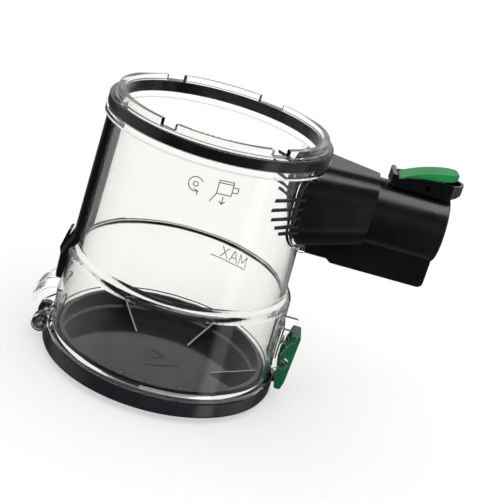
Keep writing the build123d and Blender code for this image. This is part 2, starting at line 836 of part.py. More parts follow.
# Cradle of the release lever: a boat-shaped tray
cavity_half = cradle_half - cradle_wall
with BuildPart() as release_cradle:
    with BuildSketch(Plane.XY.offset(cradle_bottom)) as cradle_plan:
        with Locations((cradle_start_x, 0)):
            Rectangle(
                cradle_end_x - cradle_start_x,
                2 * cradle_half,
                align=(Align.MIN, Align.CENTER),
            )
        fillet(cradle_plan.vertices().group_by(Axis.X)[-1], cradle_half - round_end_flat)
        fillet(cradle_plan.vertices().group_by(Axis.X)[0], cradle_corner)
    extrude(amount=cradle_tip_height)
    # Upper edge: a flat end wall, a dip beside the lever's heel, then a long rise
    with BuildSketch(Plane.XZ):
        with BuildLine():
            edge = Spline(
                (cradle_start_x + cradle_dip_run, cradle_bottom + cradle_dip_height),
                (lever_pivot_x, cradle_bottom + cradle_hump_height),
                (cradle_end_x + cradle_wall, cradle_bottom + cradle_tip_height),
                tangents=((1, 0.2), (1, 0.1)),
            )
            Polyline(
                edge @ 1,
                (cradle_end_x + cradle_wall, cradle_bottom + 2 * cradle_tip_height),
                (cradle_start_x - cradle_wall, cradle_bottom + 2 * cradle_tip_height),
                (cradle_start_x - cradle_wall, cradle_bottom + cradle_end_height),
                (cradle_start_x + cradle_end_length, cradle_bottom + cradle_end_height),
                edge @ 0,
            )
        make_face()
    extrude(amount=2 * cradle_half, both=True, mode=Mode.SUBTRACT)
    # Underside rises beyond the collar's mouth
    with BuildSketch(Plane.XZ):
        with BuildLine():
            Polyline(
                (collar_end_x - cradle_rise_run, cradle_bottom),
                (cradle_end_x, cradle_bottom + cradle_rise),
                (cradle_end_x + cradle_wall, cradle_bottom + cradle_rise),
                (cradle_end_x + cradle_wall, cradle_bottom - cradle_wall),
                (collar_end_x - cradle_rise_run, cradle_bottom - cradle_wall),
                close=True,
            )
        make_face()
    extrude(amount=2 * cradle_half, both=True, mode=Mode.SUBTRACT)
    # Cavity for the lever, shallower under the tip
    cavity_start_x = cradle_start_x + cradle_end_length
    with BuildSketch(Plane.XY.offset(cradle_floor_top)):
        with Locations((cavity_start_x, 0)):
            Rectangle(
                collar_end_x - cradle_rise_run - cavity_start_x,
                2 * cavity_half,
                align=(Align.MIN, Align.CENTER),
            )
    extrude(amount=2 * cradle_tip_height, mode=Mode.SUBTRACT)
    with BuildSketch(Plane.XY.offset(cradle_floor_top + cradle_tip_floor)) as tip_plan:
        with Locations((cavity_start_x, 0)):
            Rectangle(
                cradle_end_x - cradle_wall - cavity_start_x,
                2 * cavity_half,
                align=(Align.MIN, Align.CENTER),
            )
        fillet(tip_plan.vertices().group_by(Axis.X)[-1], cavity_half - round_end_flat)
    extrude(amount=2 * cradle_tip_height, mode=Mode.SUBTRACT)
    with BuildSketch(Plane.XY.offset(cradle_bottom - cradle_floor)):
        with Locations((tooth_start_x - tooth_swing, 0)):
            Rectangle(
                tooth_length + tooth_swing + running_gap,
                2 * (tooth_half + running_gap),
                align=(Align.MIN, Align.CENTER),
            )
    extrude(amount=3 * cradle_floor, mode=Mode.SUBTRACT)
    add(
        cross_pin(lever_pin_radius + pin_clearance, 2 * cradle_half, lever_pivot_x, lever_pivot_z),
        mode=Mode.SUBTRACT,
    )

# Release lever: bowed pad, pivot boss and tooth
lever_start_x = cradle_start_x + lever_inner_gap
lever_end_x = cradle_end_x - lever_outer_gap
tooth_tip_z = collar_z + socket_radius - tooth_dip
with BuildPart() as release_lever:
    with BuildSketch(Plane.XZ):
        with BuildLine():
            pad_top = ThreePointArc(
                (lever_start_x, cradle_bottom + pad_top_inner),
                (lever_pivot_x, cradle_bottom + pad_top_middle),
                (lever_end_x - pad_tip_run, cradle_bottom + pad_top_outer),
            )
            pad_tip = ThreePointArc(
                pad_top @ 1,
                (lever_end_x, cradle_bottom + pad_tip_middle),
                (lever_end_x - pad_tip_tuck, cradle_bottom + pad_tip_bottom),
            )
            Polyline(
                pad_tip @ 1,
                (lever_pivot_x + 2 * lever_boss_radius, cradle_bottom + pad_under_outer),
                (lever_pivot_x - 2 * lever_boss_radius, cradle_bottom + pad_under_inner),
                (lever_start_x, cradle_bottom + pad_under_start),
                pad_top @ 0,
            )
        make_face()
    extrude(amount=lever_half, both=True)
    with BuildSketch(Plane.XY.offset(cradle_bottom)) as pad_plan:
        with Locations((lever_start_x, 0)):
            Rectangle(lever_end_x - lever_start_x, 2 * lever_half, align=(Align.MIN, Align.CENTER))
        fillet(pad_plan.vertices().group_by(Axis.X)[-1], lever_half - round_end_flat)
        fillet(pad_plan.vertices().group_by(Axis.X)[0], cradle_corner)
    extrude(amount=2 * pad_top_outer, mode=Mode.INTERSECT)
    with BuildSketch(Plane.XZ):
        with Locations((lever_pivot_x, lever_pivot_z)):
            Circle(lever_boss_radius)
            Rectangle(
                2 * lever_boss_radius,
                pad_under_outer - lever_pivot_rise,
                align=(Align.CENTER, Align.MIN),
            )
    extrude(amount=lever_half, both=True)
    with BuildSketch(Plane.XZ):
        with BuildLine():
            Polyline(
                (tooth_start_x, cradle_bottom + pad_under_inner),
                (tooth_start_x, tooth_tip_z),
                (tooth_start_x + tooth_length / 2, tooth_tip_z),
                (tooth_start_x + tooth_length, tooth_tip_z + tooth_dip),
                (tooth_start_x + tooth_length, cradle_bottom + pad_under_inner),
                close=True,
            )
        make_face()
    extrude(amount=tooth_half, both=True)
    add(
        cross_pin(lever_pin_radius + pin_clearance, cradle_half, lever_pivot_x, lever_pivot_z),
        mode=Mode.SUBTRACT,
    )

with BuildPart() as lever_pin:
    add(cross_pin(lever_pin_radius, cradle_half - seat_gap, lever_pivot_x, lever_pivot_z))

lever_spring = coil_spring(
    Plane(origin=(lever_pivot_x + lever_spring_run, 0, cradle_floor_top + seat_gap)),
    pad_under_outer - cradle_floor - seat_gap,
    lever_spring_radius,
    lever_spring_wire,
    lever_spring_turns,
)

# Contact housing below the duct and the collar, open at the mouth
housing_step_x = housing_start_x + housing_tail_length
with BuildPart() as contact_housing:
    with BuildSketch(Plane.XZ) as housing_profile:
        with BuildLine():
            Polyline(
                (housing_start_x, housing_top),
                (housing_start_x, housing_bottom + housing_tail_rise),
                (housing_step_x, housing_bottom + housing_tail_rise),
                (housing_step_x + housing_step_run, housing_bottom),
                (housing_end_x, housing_bottom),
                (housing_end_x, housing_top),
                close=True,
            )
        make_face()
        mouth_corner = (housing_end_x, housing_bottom)
        fillet(housing_profile.vertices().sort_by_distance(mouth_corner)[0], housing_round)
    extrude(amount=housing_half, both=True)
    with BuildSketch(Plane.XZ):
        with Locations((tongue_start_x, tongue_bottom)):
            Rectangle(
                housing_start_x - tongue_start_x + housing_wall,
                tongue_height,
                align=(Align.MIN, Align.MIN),
            )
    extrude(amount=tongue_half, both=True)
    add(duct_loft(seat_gap, duct_start_x, duct_end_x), mode=Mode.SUBTRACT)
    with BuildSketch(Plane.YZ.offset(duct_end_x)):
        with Locations((0, collar_z)):
            Circle(collar_radius + seat_gap)
    extrude(amount=2 * collar_length, mode=Mode.SUBTRACT)
    with BuildSketch(Plane.XZ):
        with Locations((housing_start_x + housing_cavity_inset, housing_bottom + housing_wall)):
            Rectangle(
                2 * collar_length,
                housing_roof_z - housing_bottom - housing_wall,
                align=(Align.MIN, Align.MIN),
            )
    extrude(amount=housing_half - housing_wall, both=True, mode=Mode.SUBTRACT)
    add(
        cross_pin(housing_pin_radius + pin_clearance, ear_outer, housing_pin_x, housing_pin_z),
        mode=Mode.SUBTRACT,
    )

with BuildPart() as housing_pin:
    add(cross_pin(housing_pin_radius, lug_outer, housing_pin_x, housing_pin_z))

# Insulating block with two contact sleeves
block_end_x = housing_end_x - contact_recess
contact_z = (housing_bottom + housing_wall + housing_roof_z) / 2
contact_places = [(side * contact_spread / 2, contact_z) for side in (-1, 1)]
with BuildPart() as contact_block:
    with BuildSketch(Plane.YZ.offset(block_end_x - contact_block_length)):
        with Locations((0, contact_z)):
            Rectangle(
                2 * (housing_half - housing_wall - seat_gap),
                housing_roof_z - housing_bottom - housing_wall - 2 * seat_gap,
            )
        with Locations(*contact_places):
            Circle(contact_radius + pin_clearance, mode=Mode.SUBTRACT)
    extrude(amount=contact_block_length)

with BuildPart() as contact_sleeves:
    with BuildSketch(Plane.YZ.offset(block_end_x - contact_length)):
        with Locations(*contact_places):
            Circle(contact_radius)
            Circle(contact_radius - contact_wall, mode=Mode.SUBTRACT)
    extrude(amount=contact_length)

# Back rail that follows the wall down over the shoulder, with a catch hook
foot_radius = lower_wall_bottom_radius + rail_foot_thickness
foot_bottom = shoulder_bottom - rail_foot_length
hook_base = shoulder_bottom - hook_drop
with BuildPart() as back_rail:
    with BuildSketch(Plane.XZ):
        with BuildLine():
            Polyline(
                (root_radius - shoulder_inset, flange_bottom - rail_top_gap),
                (upper_wall_top_radius + rail_thickness, flange_bottom - rail_top_gap),
                (upper_wall_bottom_radius + rail_thickness, shoulder_top + shoulder_cove_round),
                (foot_radius, hook_base),
                (foot_radius, foot_bottom),
                (root_radius - shoulder_inset, foot_bottom),
                close=True,
            )
        make_face()
    revolve(axis=Axis.Z)
    add(envelope(seat_gap), mode=Mode.SUBTRACT)
    with BuildSketch(Plane.YZ.offset(-2 * foot_radius)):
        with Locations((0, foot_bottom)):
            Rectangle(2 * rail_half, flange_bottom, align=(Align.CENTER, Align.MIN))
    extrude(amount=2 * foot_radius, mode=Mode.INTERSECT)
    with BuildSketch(Plane.XZ):
        with BuildLine():
            Polyline(
                (rail_foot_thickness / 2 - foot_radius, hook_base - rail_foot_thickness),
                (-foot_radius, hook_base - rail_foot_thickness),
                (-foot_radius - hook_thickness / 2, hook_base),
                (hook_thickness - foot_radius, hook_base + hook_height),
                (2 * hook_thickness - foot_radius, hook_base + hook_height),
                (hook_thickness - foot_radius, hook_base + hook_height / 3),
                (rail_foot_thickness / 2 - foot_radius, hook_base),
                close=True,
            )
        make_face()
    extrude(amount=hook_half, both=True)

pieces = {
    "bin_shell": bin_shell.part,
    "rim_band": rim_band.part,
    "bottom_flap": bottom_flap.part,
    "flap_seal": flap_seal.part,
    "hinge_pin": hinge_pin.part,
    "flap_latch": flap_latch.part,
    "latch_pin": latch_pin.part,
    "latch_spring": latch_spring,
    "inlet_duct": inlet_duct.part,
    "duct_gasket": duct_gasket.part,
    "inlet_collar": inlet_collar.part,
    "socket_seal": socket_seal.part,
    "release_cradle": release_cradle.part,
    "release_lever": release_lever.part,
    "lever_pin": lever_pin.part,
    "lever_spring": lever_spring,
    "contact_housing": contact_housing.part,
    "housing_pin": housing_pin.part,
    "contact_block": contact_block.part,
    "contact_sleeves": contact_sleeves.part,
    "back_rail": back_rail.part,
}
for name, piece in pieces.items():
    piece.label = name
    export_step(piece, f"parts/{name}.step")
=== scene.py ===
"""Looks of a clear dust bin: plastics, rubber, metal, springs, printed marks and stage."""
from math import cos, pi, radians, sin

import bmesh
import bpy
from bpy.props import FloatProperty, FloatVectorProperty, PointerProperty
from mathutils import Matrix, Vector


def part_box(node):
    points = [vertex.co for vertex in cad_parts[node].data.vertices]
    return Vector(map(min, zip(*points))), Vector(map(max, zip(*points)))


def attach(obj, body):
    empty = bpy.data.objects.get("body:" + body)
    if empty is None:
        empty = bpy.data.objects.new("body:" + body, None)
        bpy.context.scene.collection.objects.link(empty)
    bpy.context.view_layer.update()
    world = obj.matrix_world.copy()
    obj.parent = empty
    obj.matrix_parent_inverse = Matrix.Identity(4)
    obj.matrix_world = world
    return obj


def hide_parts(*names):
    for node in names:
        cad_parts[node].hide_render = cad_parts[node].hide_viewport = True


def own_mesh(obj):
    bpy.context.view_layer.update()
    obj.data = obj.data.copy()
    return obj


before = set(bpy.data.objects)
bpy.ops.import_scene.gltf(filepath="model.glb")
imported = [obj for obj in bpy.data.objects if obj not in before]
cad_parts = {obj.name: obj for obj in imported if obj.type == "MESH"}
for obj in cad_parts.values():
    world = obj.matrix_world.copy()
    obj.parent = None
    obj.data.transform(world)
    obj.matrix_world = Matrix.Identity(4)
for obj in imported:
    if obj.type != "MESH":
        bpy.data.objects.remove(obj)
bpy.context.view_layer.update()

bl_info = {
    "name": "Dust Bin Looks",
    "version": (1, 0, 0),
    "blender": (4, 5, 0),
    "location": "View3D > Sidebar > Dust Bin",
    "description": "Finishes, printed marks and stage for a clear dust bin",
    "category": "Object",
}

MILLIMETRE = 0.001

# Which nodes share a finish
SATIN_NODES = ("inlet_duct", "inlet_collar", "contact_housing", "back_rail")
RUBBER_NODES = ("flap_seal", "duct_gasket", "socket_seal")
STEEL_NODES = ("hinge_pin", "latch_pin", "housing_pin", "latch_spring", "lever_spring")

# Noise scales, in cycles for each metre
GLOSS_SCALE = 90
WAVE_SCALE = 42
HAIRLINE_SCALES = ((260, 260, 2600), (1900, 1900, 160))

# Depth of the moulded grain, in grain sizes
GRAIN_DEPTH = 0.25

# Noise levels between which a drift in tone, a change of gloss and a scuff come in
DRIFT_LEVELS = (0.35, 0.75)
GLOSS_LEVELS = (0.3, 0.7)
SCUFF_LEVELS = (0.66, 0.82)

# Degrees between the flap's gussets, and the share of a ridge's painted highlight width at full
# strength
GUSSET_STEP = 60
RIDGE_CORE = 0.7

# Strokes of the fill mark's letters, in shares of a letter's width and height
LETTER_STROKES = {
    "M": (((0, 0), (0, 1)), ((0, 1), (0.5, 0.25)), ((0.5, 0.25), (1, 1)), ((1, 1), (1, 0))),
    "A": (((0, 0), (0.5, 1)), ((0.5, 1), (1, 0)), ((0.19, 0.36), (0.81, 0.36))),
    "X": (((0, 0), (1, 1)), ((0, 1), (1, 0))),
}

# Length of a printed stroke's steps, in stroke widths
PRINT_STEP = 1.5

# Height of the flap's floor over its foot, in metres
FLOOR_RISE = 2 * MILLIMETRE

# Corners of the moulded triangle in degrees, and the share of a side left open at each end
TRIANGLE_CORNERS = (90, 210, 330)
TRIANGLE_GAP = 0.12

# Sides of a round bar or wire, and steps in one turn of a spring
ROUND_SIDES = 12
COIL_STEPS = 40

# Levels of the room by elevation in degrees, as mirrored by surfaces and as bent through the shell
MIRRORED_ROOM = ((-90, 0.06), (2, 0.08), (12, 0.80), (29, 0.80), (40, 0.06), (90, 0.05))
BENT_ROOM = ((-90, 1.0), (36, 1.0), (58, 0.12), (90, 0.06))

# Fades of the mirrored room's front and sides, in shares of its radius
FRONT_FADE = (-0.35, 0.1)
SIDE_FADE = (0.7, 0.92)

# Upright window in the mirrored room: degrees round from the socket towards the front, then its
# drop and its fades across and up in shares of the room's radius
WINDOW_TURN = 30
WINDOW_DROP = 0.17
WINDOW_ACROSS = (0.08, 0.2)
WINDOW_UP = (0.3, 0.42)

# Lamps: name, place, aim, width and height in metres, and whether mirrors show the lamp
LAMPS = (
    ("key", (-0.7, -0.75, 0.95), (0.02, 0, 0.08), 0.5, 0.5, False),
    ("strip", (0.2, -0.15, 1.0), (0.06, 0, 0.1), 0.9, 0.4, True),
    ("side", (0.75, -0.85, 0.35), (0.02, 0, 0.08), 0.12, 0.6, False),
)

# Camera: its place in metres, and which way its right and its top point
CAMERA_PLACE = (0, -0.60764, 0.30432)
CAMERA_RIGHT = (0.96219, 0.04884, 0.26796)
CAMERA_UP = (-0.26780, 0.34915, 0.89799)


def colour(name, description, value):
    """Colour property in linear light."""
    return FloatVectorProperty(
        name=name, description=description, subtype="COLOR", size=3, min=0, max=1, default=value
    )


def length(name, description, millimetres):
    """Length property in metres, written in millimetres."""
    return FloatProperty(
        name=name,
        description=description,
        default=millimetres * MILLIMETRE,
        subtype="DISTANCE",
        unit="LENGTH",
        precision=5,
    )


def share(name, description, value):
    """Property between nought and one."""
    return FloatProperty(
        name=name, description=description, default=value, min=0, max=1, subtype="FACTOR"
    )


def bearing(name, description, degrees):
    """Angle property in radians, written in degrees."""
    return FloatProperty(
        name=name,
        description=description,
        default=radians(degrees),
        subtype="ANGLE",
        unit="ROTATION",
    )


def power(name, description, watts):
    """Power property of a lamp."""
    return FloatProperty(name=name, description=description, default=watts, unit="POWER")


class DustBinFinishes(bpy.types.PropertyGroup):
    """Colours and finishes of the bin's plastics, rubber and metal."""

    clear_tint: colour("Clear tint", "Tint of the clear shell", (0.945, 0.945, 0.93))
    clear_shade: colour("Clear shade", "Tint of lamp light through the shell", (0.93, 0.93, 0.92))
    clear_ior: FloatProperty(
        name="Clear index", description="Refractive index of the shell", default=1.49, min=1, max=2
    )
    clear_polish: share("Clear polish", "Roughness of the shell between its scuffs", 0.012)
    clear_scuff: share("Clear scuff", "Roughness of the shell along its hairlines", 0.07)
    wave_strength: share("Wave strength", "Strength of the shell's mould waves", 0.05)
    wave_depth: length("Wave depth", "Depth of the shell's mould waves", 2)
    satin_black: colour("Satin black", "Duct, collar, housing and rail", (0.0030, 0.0030, 0.0036))
    satin_bloom: colour("Satin bloom", "Paler drift of the satin black", (0.0062, 0.0062, 0.0072))
    gloss_black: colour("Gloss black", "Lever cradle", (0.0024, 0.0025, 0.0032))
    gloss_bloom: colour("Gloss bloom", "Paler drift of the gloss black", (0.0050, 0.0052, 0.0062))
    flap_black: colour("Flap black", "Bottom flap", (0.0095, 0.0098, 0.0118))
    flap_bloom: colour("Flap bloom", "Paler drift of the flap", (0.0150, 0.0155, 0.0185))
    # Painted highlight on the flap: pale lines along the gussets' top edges and a pale ring round
    # its cup's ledge stand in for glints on these glossy edges. Where the settings below speak of
    # rubbing, they mean this painted highlight.
    ridge_highlight: colour("Ridge pale", "Rubbed ridges of the flap's gussets", (0.34, 0.34, 0.36))
    ledge_highlight: colour("Ledge pale", "Rubbed ledge round the flap's cup", (0.10, 0.10, 0.11))
    ridge_start: length("Ridge start", "Radius at which a gusset's ridge starts", 29.5)
    ridge_end: length("Ridge end", "Radius at which a gusset's ridge ends", 54.5)
    ridge_low: length("Ridge low", "Height at which a gusset's ridge starts", 2)
    ridge_high: length("Ridge high", "Height at which a gusset's ridge ends", 11)
    ridge_lift: length("Ridge lift", "Height over the ridge's start where rubbing starts", 0.3)
    highlight_depth: length("Ridge rub", "Depth of the rubbed edge", 0.5)
    ridge_half: length("Ridge half", "Half width of the rubbed edge", 0.5)
    ledge_radius: length("Ledge radius", "Radius at which the cup's ledge starts", 53.1)
    ledge_slack: length("Ledge slack", "Width added to the rubbed ledge at the cup's wall", 0.1)
    ledge_height: length("Ledge height", "Height of the cup's ledge", 6)
    rubber_black: colour("Rubber black", "Band, seals and gasket", (0.0030, 0.0030, 0.0042))
    rubber_bloom: colour("Rubber bloom", "Paler drift of the rubber", (0.0080, 0.0080, 0.0100))
    lever_green: colour("Lever green", "Release lever", (0.018, 0.195, 0.056))
    lever_shade: colour("Lever shade", "Deeper drift of the release lever", (0.013, 0.145, 0.042))
    latch_green: colour("Latch green", "Flap latch", (0.006, 0.115, 0.050))
    latch_shade: colour("Latch shade", "Deeper drift of the flap latch", (0.004, 0.080, 0.036))
    block_grey: colour("Block grey", "Contact block", (0.085, 0.085, 0.092))
    block_pale: colour("Block pale", "Paler drift of the contact block", (0.12, 0.12, 0.125))
    dark_steel: colour("Dark steel", "Blackened lever pin", (0.010, 0.010, 0.011))
    dark_bloom: colour("Dark bloom", "Paler drift of the blackened steel", (0.020, 0.020, 0.021))
    steel_grey: colour("Steel grey", "Pins and springs", (0.56, 0.56, 0.57))
    steel_dull: colour("Steel dull", "Duller drift of the steel", (0.40, 0.40, 0.41))
    brass_yellow: colour("Brass yellow", "Contact sleeves", (0.70, 0.51, 0.23))
    brass_dull: colour("Brass dull", "Duller drift of the brass", (0.50, 0.34, 0.14))
    ink_grey: colour("Ink grey", "Printed marks", (0.085, 0.085, 0.082))
    ink_worn: colour("Ink worn", "Thinner patches of the ink", (0.17, 0.17, 0.165))
    grain: length("Grain", "Size of the moulded grain", 0.35)
    patch: length("Patch", "Size of the drifts in colour", 22)


class DustBinSprings(bpy.types.PropertyGroup):
    """Coil springs under the flap latch and the release lever."""

    turns: FloatProperty(name="Turns", description="Turns of a spring", default=4, min=1)
    latch_wire: length("Latch wire", "Half thickness of the latch spring's wire", 0.4)
    lever_wire: length("Lever wire", "Half thickness of the lever spring's wire", 0.35)
    latch_keep: share("Latch keep", "Share of its length that a pressed latch spring keeps", 0.68)
    lever_keep: share("Lever keep", "Share of its length that a pressed lever spring keeps", 0.765)


class DustBinMarks(bpy.types.PropertyGroup):
    """Printed marks on the clear wall and moulded marks in the flap."""

    stroke: length("Stroke", "Width of a printed stroke", 0.5)
    film: length("Film", "Thickness of the print", 0.05)
    fill_radius: length("Fill radius", "Wall radius at the fill mark", 60.98)
    fill_height: length("Fill height", "Height of the fill line", 47.35)
    fill_angle: bearing("Fill angle", "Where the fill line starts, round from the socket", 53.4)
    fill_line: length("Fill line", "Length of the fill line", 24.4)
    letter_height: length("Letter height", "Height of the letters", 7.2)
    letter_width: length("Letter width", "Width of a letter", 5.0)
    letter_gap: length("Letter gap", "Gap between letters", 1.45)
    letter_rise: length("Letter rise", "Gap between the line and the letters", 0.9)
    sign_radius: length("Sign radius", "Wall radius at the emptying sign", 55.2)
    sign_height: length("Sign height", "Height of the emptying sign", 122.5)
    sign_angle: bearing("Sign angle", "Middle of the emptying sign, round from the socket", -87.5)
    bars_across: length("Bars across", "Middle of the moulded bars, towards the socket", -2.4)
    bars_back: length("Bars back", "Middle of the moulded bars, towards the back", 4)
    bars_turn: bearing("Bars turn", "Turn of the moulded bars in the flap's floor", 24.5)
    bar_length: length("Bar length", "Length of the bar under the triangle", 21.8)
    bar_drop: length("Bar drop", "Gap between the triangle's middle and the bar", 12)
    triangle_reach: length("Triangle reach", "From the triangle's middle to its corners", 7.6)
    bead: length("Bead", "Half width of a moulded bar", 0.5)


class DustBinStage(bpy.types.PropertyGroup):
    """Camera, lamps, floor and room."""

    lens: FloatProperty(
        name="Lens", description="Focal length", default=88.295, subtype="DISTANCE_CAMERA"
    )
    floor_white: colour("Floor white", "Floor and backdrop", (0.80, 0.80, 0.80))
    near_lift: share("Near lift", "Light that the floor adds for the camera by the bin", 0.20)
    far_lift: share("Far lift", "Light that the floor adds for the camera far off", 0.62)
    far_start: length("Far start", "Distance at which the far lift is reached", 900)
    see_through: share("See through", "How clearly the camera sees what hangs below the floor", 0.9)
    shade_level: share("Shade level", "Level of the floor in the deepest shade under the bin", 0.62)
    shade_open: share("Shade open", "Openness at which the shade is deepest", 0.2)
    shade_reach: length("Shade reach", "How far the shade spreads from the bin", 140)
    mirror_level: share("Mirror level", "Level of the floor in reflections", 0.10)
    front_share: share("Front share", "Share of the back's level that the front shows", 0.25)
    side_level: share("Side level", "Level of the pale sides in reflections", 0.50)
    window_level: FloatProperty(
        name="Window level",
        description="Level of the window at the front right",
        default=1.2,
        min=0,
    )
    floor_radius: length("Floor radius", "Radius of the floor", 4000)
    room_radius: length("Room radius", "Radius of the room that reflections show", 2000)
    ambient: share("Ambient", "Even light from all round", 0.50)
    key_power: power("Key power", "Softbox above left", 8)
    strip_power: power("Strip power", "Strip overhead", 6)
    side_power: power("Side power", "Strip at the front right", 3)


def finishes():
    """The scene's finish settings."""
    return bpy.context.scene.dust_bin_finishes


def springs():
    """The scene's spring settings."""
    return bpy.context.scene.dust_bin_springs


def marks():
    """The scene's mark settings."""
    return bpy.context.scene.dust_bin_marks


def stage_settings():
    """The scene's stage settings."""
    return bpy.context.scene.dust_bin_stage


def rgba(value):
    """Colour with full alpha."""
    return (*value, 1)


def feed(tree, socket, value):
    """Links a socket to another one, or writes a value on it."""
    if isinstance(value, bpy.types.NodeSocket):
        tree.links.new(value, socket)
    else:
        socket.default_value = value


def add_node(tree, kind, inputs=None, **settings):
    """New node with its settings, and with its inputs linked or written."""
    node = tree.nodes.new(kind)
    for label, value in settings.items():
        setattr(node, label, value)
    for label, value in (inputs or {}).items():
        feed(tree, node.inputs[label], value)
    return node


def math_node(tree, operation, *values):
    """Math node on sockets or numbers."""
    node = add_node(tree, "ShaderNodeMath", dict(enumerate(values)), operation=operation)
    return node.outputs[0]


def product(tree, first, *others):
    """Product of several sockets."""
    for other in others:
        first = math_node(tree, "MULTIPLY", first, other)
    return first


def noise(tree, vector, scale, detail, roughness=0.5):
    """Noise texture, with its scale linked or written."""
    inputs = {"Vector": vector, "Scale": scale, "Detail": detail, "Roughness": roughness}
    return add_node(tree, "ShaderNodeTexNoise", inputs).outputs["Fac"]


def remap(tree, value, low, high, to_low, to_high):
    """Map Range node whose ends may be numbers or sockets."""
    labels = ("Value", "From Min", "From Max", "To Min", "To Max")
    inputs = dict(zip(labels, (value, low, high, to_low, to_high)))
    return add_node(tree, "ShaderNodeMapRange", inputs).outputs["Result"]


def mix_node(tree, kind, factor, first, second):
    """Mix of two colours or numbers."""
    inputs = {"Factor": factor, "A": first, "B": second}
    return add_node(tree, "ShaderNodeMix", inputs, data_type=kind).outputs["Result"]


def mix_shaders(tree, factor, first, second):
    """Mix of two shaders."""
    inputs = {"Fac": factor, 1: first, 2: second}
    return add_node(tree, "ShaderNodeMixShader", inputs).outputs["Shader"]


def object_place(tree):
    """Object coordinates."""
    return add_node(tree, "ShaderNodeTexCoord").outputs["Object"]


def bump(tree, height, strength, distance):
    """Normal that a height gives."""
    inputs = {"Height": height, "Strength": strength, "Distance": distance}
    return add_node(tree, "ShaderNodeBump", inputs).outputs["Normal"]


def empty_material(name):
    """Material with an empty tree."""
    material = bpy.data.materials.new(name)
    material.use_nodes = True
    material.node_tree.nodes.clear()
    return material, material.node_tree


def show(tree, shader):
    """Puts a shader on a material's surface."""
    add_node(tree, "ShaderNodeOutputMaterial", {"Surface": shader})


def node_group(name, inputs, outputs):
    """Empty shader node group with named sockets, and its two ends."""
    group = bpy.data.node_groups.new(name, "ShaderNodeTree")
    for label, kind, default in inputs:
        kind = f"NodeSocket{kind}"
        socket = group.interface.new_socket(label, in_out="INPUT", socket_type=kind)
        if default is not None:
            socket.default_value = default
    for label, kind in outputs:
        group.interface.new_socket(label, in_out="OUTPUT", socket_type=f"NodeSocket{kind}")
    return group, group.nodes.new("NodeGroupInput"), group.nodes.new("NodeGroupOutput")


def tone_drift_group():
    """Slow drift between two colours, as moulded plastic and rubber show."""
    group, start, end = node_group(
        "Tone drift",
        (
            ("Vector", "Vector", None),
            ("Main", "Color", (0.5, 0.5, 0.5, 1)),
            ("Drift", "Color", (0.6, 0.6, 0.6, 1)),
            ("Patch", "Float", 0.02),
        ),
        (("Color", "Color"),),
    )
    scale = math_node(group, "DIVIDE", 1, start.outputs["Patch"])
    cloud = noise(group, start.outputs["Vector"], scale, detail=4)
    cloud = remap(group, cloud, *DRIFT_LEVELS, 0, 1)
    tone = mix_node(group, "RGBA", cloud, start.outputs["Main"], start.outputs["Drift"])
    feed(group, end.inputs["Color"], tone)
    return group


def moulded_grain_group():
    """Fine grain of a mould's surface: a height for bump and a roughness that wanders."""
    group, start, end = node_group(
        "Moulded grain",
        (
            ("Vector", "Vector", None),
            ("Grain", "Float", 0.0004),
            ("Smooth", "Float", 0.2),
            ("Rough", "Float", 0.4),
        ),
        (("Height", "Float"), ("Roughness", "Float")),
    )
    scale = math_node(group, "DIVIDE", 1, start.outputs["Grain"])
    fine = noise(group, start.outputs["Vector"], scale, detail=3, roughness=0.6)
    broad = noise(group, start.outputs["Vector"], GLOSS_SCALE, detail=5, roughness=0.6)
    gloss = remap(group, broad, *GLOSS_LEVELS, start.outputs["Smooth"], start.outputs["Rough"])
    feed(group, end.inputs["Height"], fine)
    feed(group, end.inputs["Roughness"], gloss)
    return group


def hairline_group():
    """Sparse hairline scuffs round the wall and up it as roughness, and its waves as height."""
    group, start, end = node_group(
        "Hairlines",
        (
            ("Vector", "Vector", None),
            ("Polish", "Float", 0.02),
            ("Scuff", "Float", 0.15),
        ),
        (("Roughness", "Float"), ("Height", "Float")),
    )
    streaks = []
    for scales in HAIRLINE_SCALES:
        inputs = {"Vector": start.outputs["Vector"], "Scale": scales}
        stretched = add_node(group, "ShaderNodeMapping", inputs).outputs["Vector"]
        streaks.append(noise(group, stretched, 1, detail=2, roughness=0.55))
    most = math_node(group, "MAXIMUM", *streaks)
    scuffs = remap(group, most, *SCUFF_LEVELS, start.outputs["Polish"], start.outputs["Scuff"])
    waves = noise(group, start.outputs["Vector"], WAVE_SCALE, detail=2, roughness=0.4)
    feed(group, end.inputs["Roughness"], scuffs)
    feed(group, end.inputs["Height"], waves)
    return group


def shared_group(name):
    """A shared shader group, built the first time that it is asked for."""
    makers = {
        "Tone drift": tone_drift_group,
        "Moulded grain": moulded_grain_group,
        "Hairlines": hairline_group,
    }
    return bpy.data.node_groups.get(name) or makers[name]()


def place_group(tree, name, **inputs):
    """Outputs of a shared group in a material, with its own inputs."""
    return add_node(tree, "ShaderNodeGroup", inputs, node_tree=shared_group(name)).outputs


def moulded_material(name, tones, gloss, grain, specular=0.5, metallic=0, paint=None):
    """Plastic, rubber or metal with drifting tone, wandering gloss and a fine grain."""
    settings = finishes()
    material, tree = empty_material(name)
    place = object_place(tree)
    main, drift = (rgba(tone) for tone in tones)
    smooth, rough = gloss
    tone = place_group(
        tree, "Tone drift", Vector=place, Main=main, Drift=drift, Patch=settings.patch
    )["Color"]
    # Optional painting of the tone, used for the flap's painted highlights
    if paint:
        tone = paint(tree, place, tone)
    surface = place_group(
        tree, "Moulded grain", Vector=place, Grain=settings.grain, Smooth=smooth, Rough=rough
    )
    inputs = {
        "Base Color": tone,
        "Roughness": surface["Roughness"],
        "Metallic": metallic,
        "Specular IOR Level": specular,
        "Normal": bump(tree, surface["Height"], grain, GRAIN_DEPTH * settings.grain),
    }
    show(tree, add_node(tree, "ShaderNodeBsdfPrincipled", inputs).outputs["BSDF"])
    return material


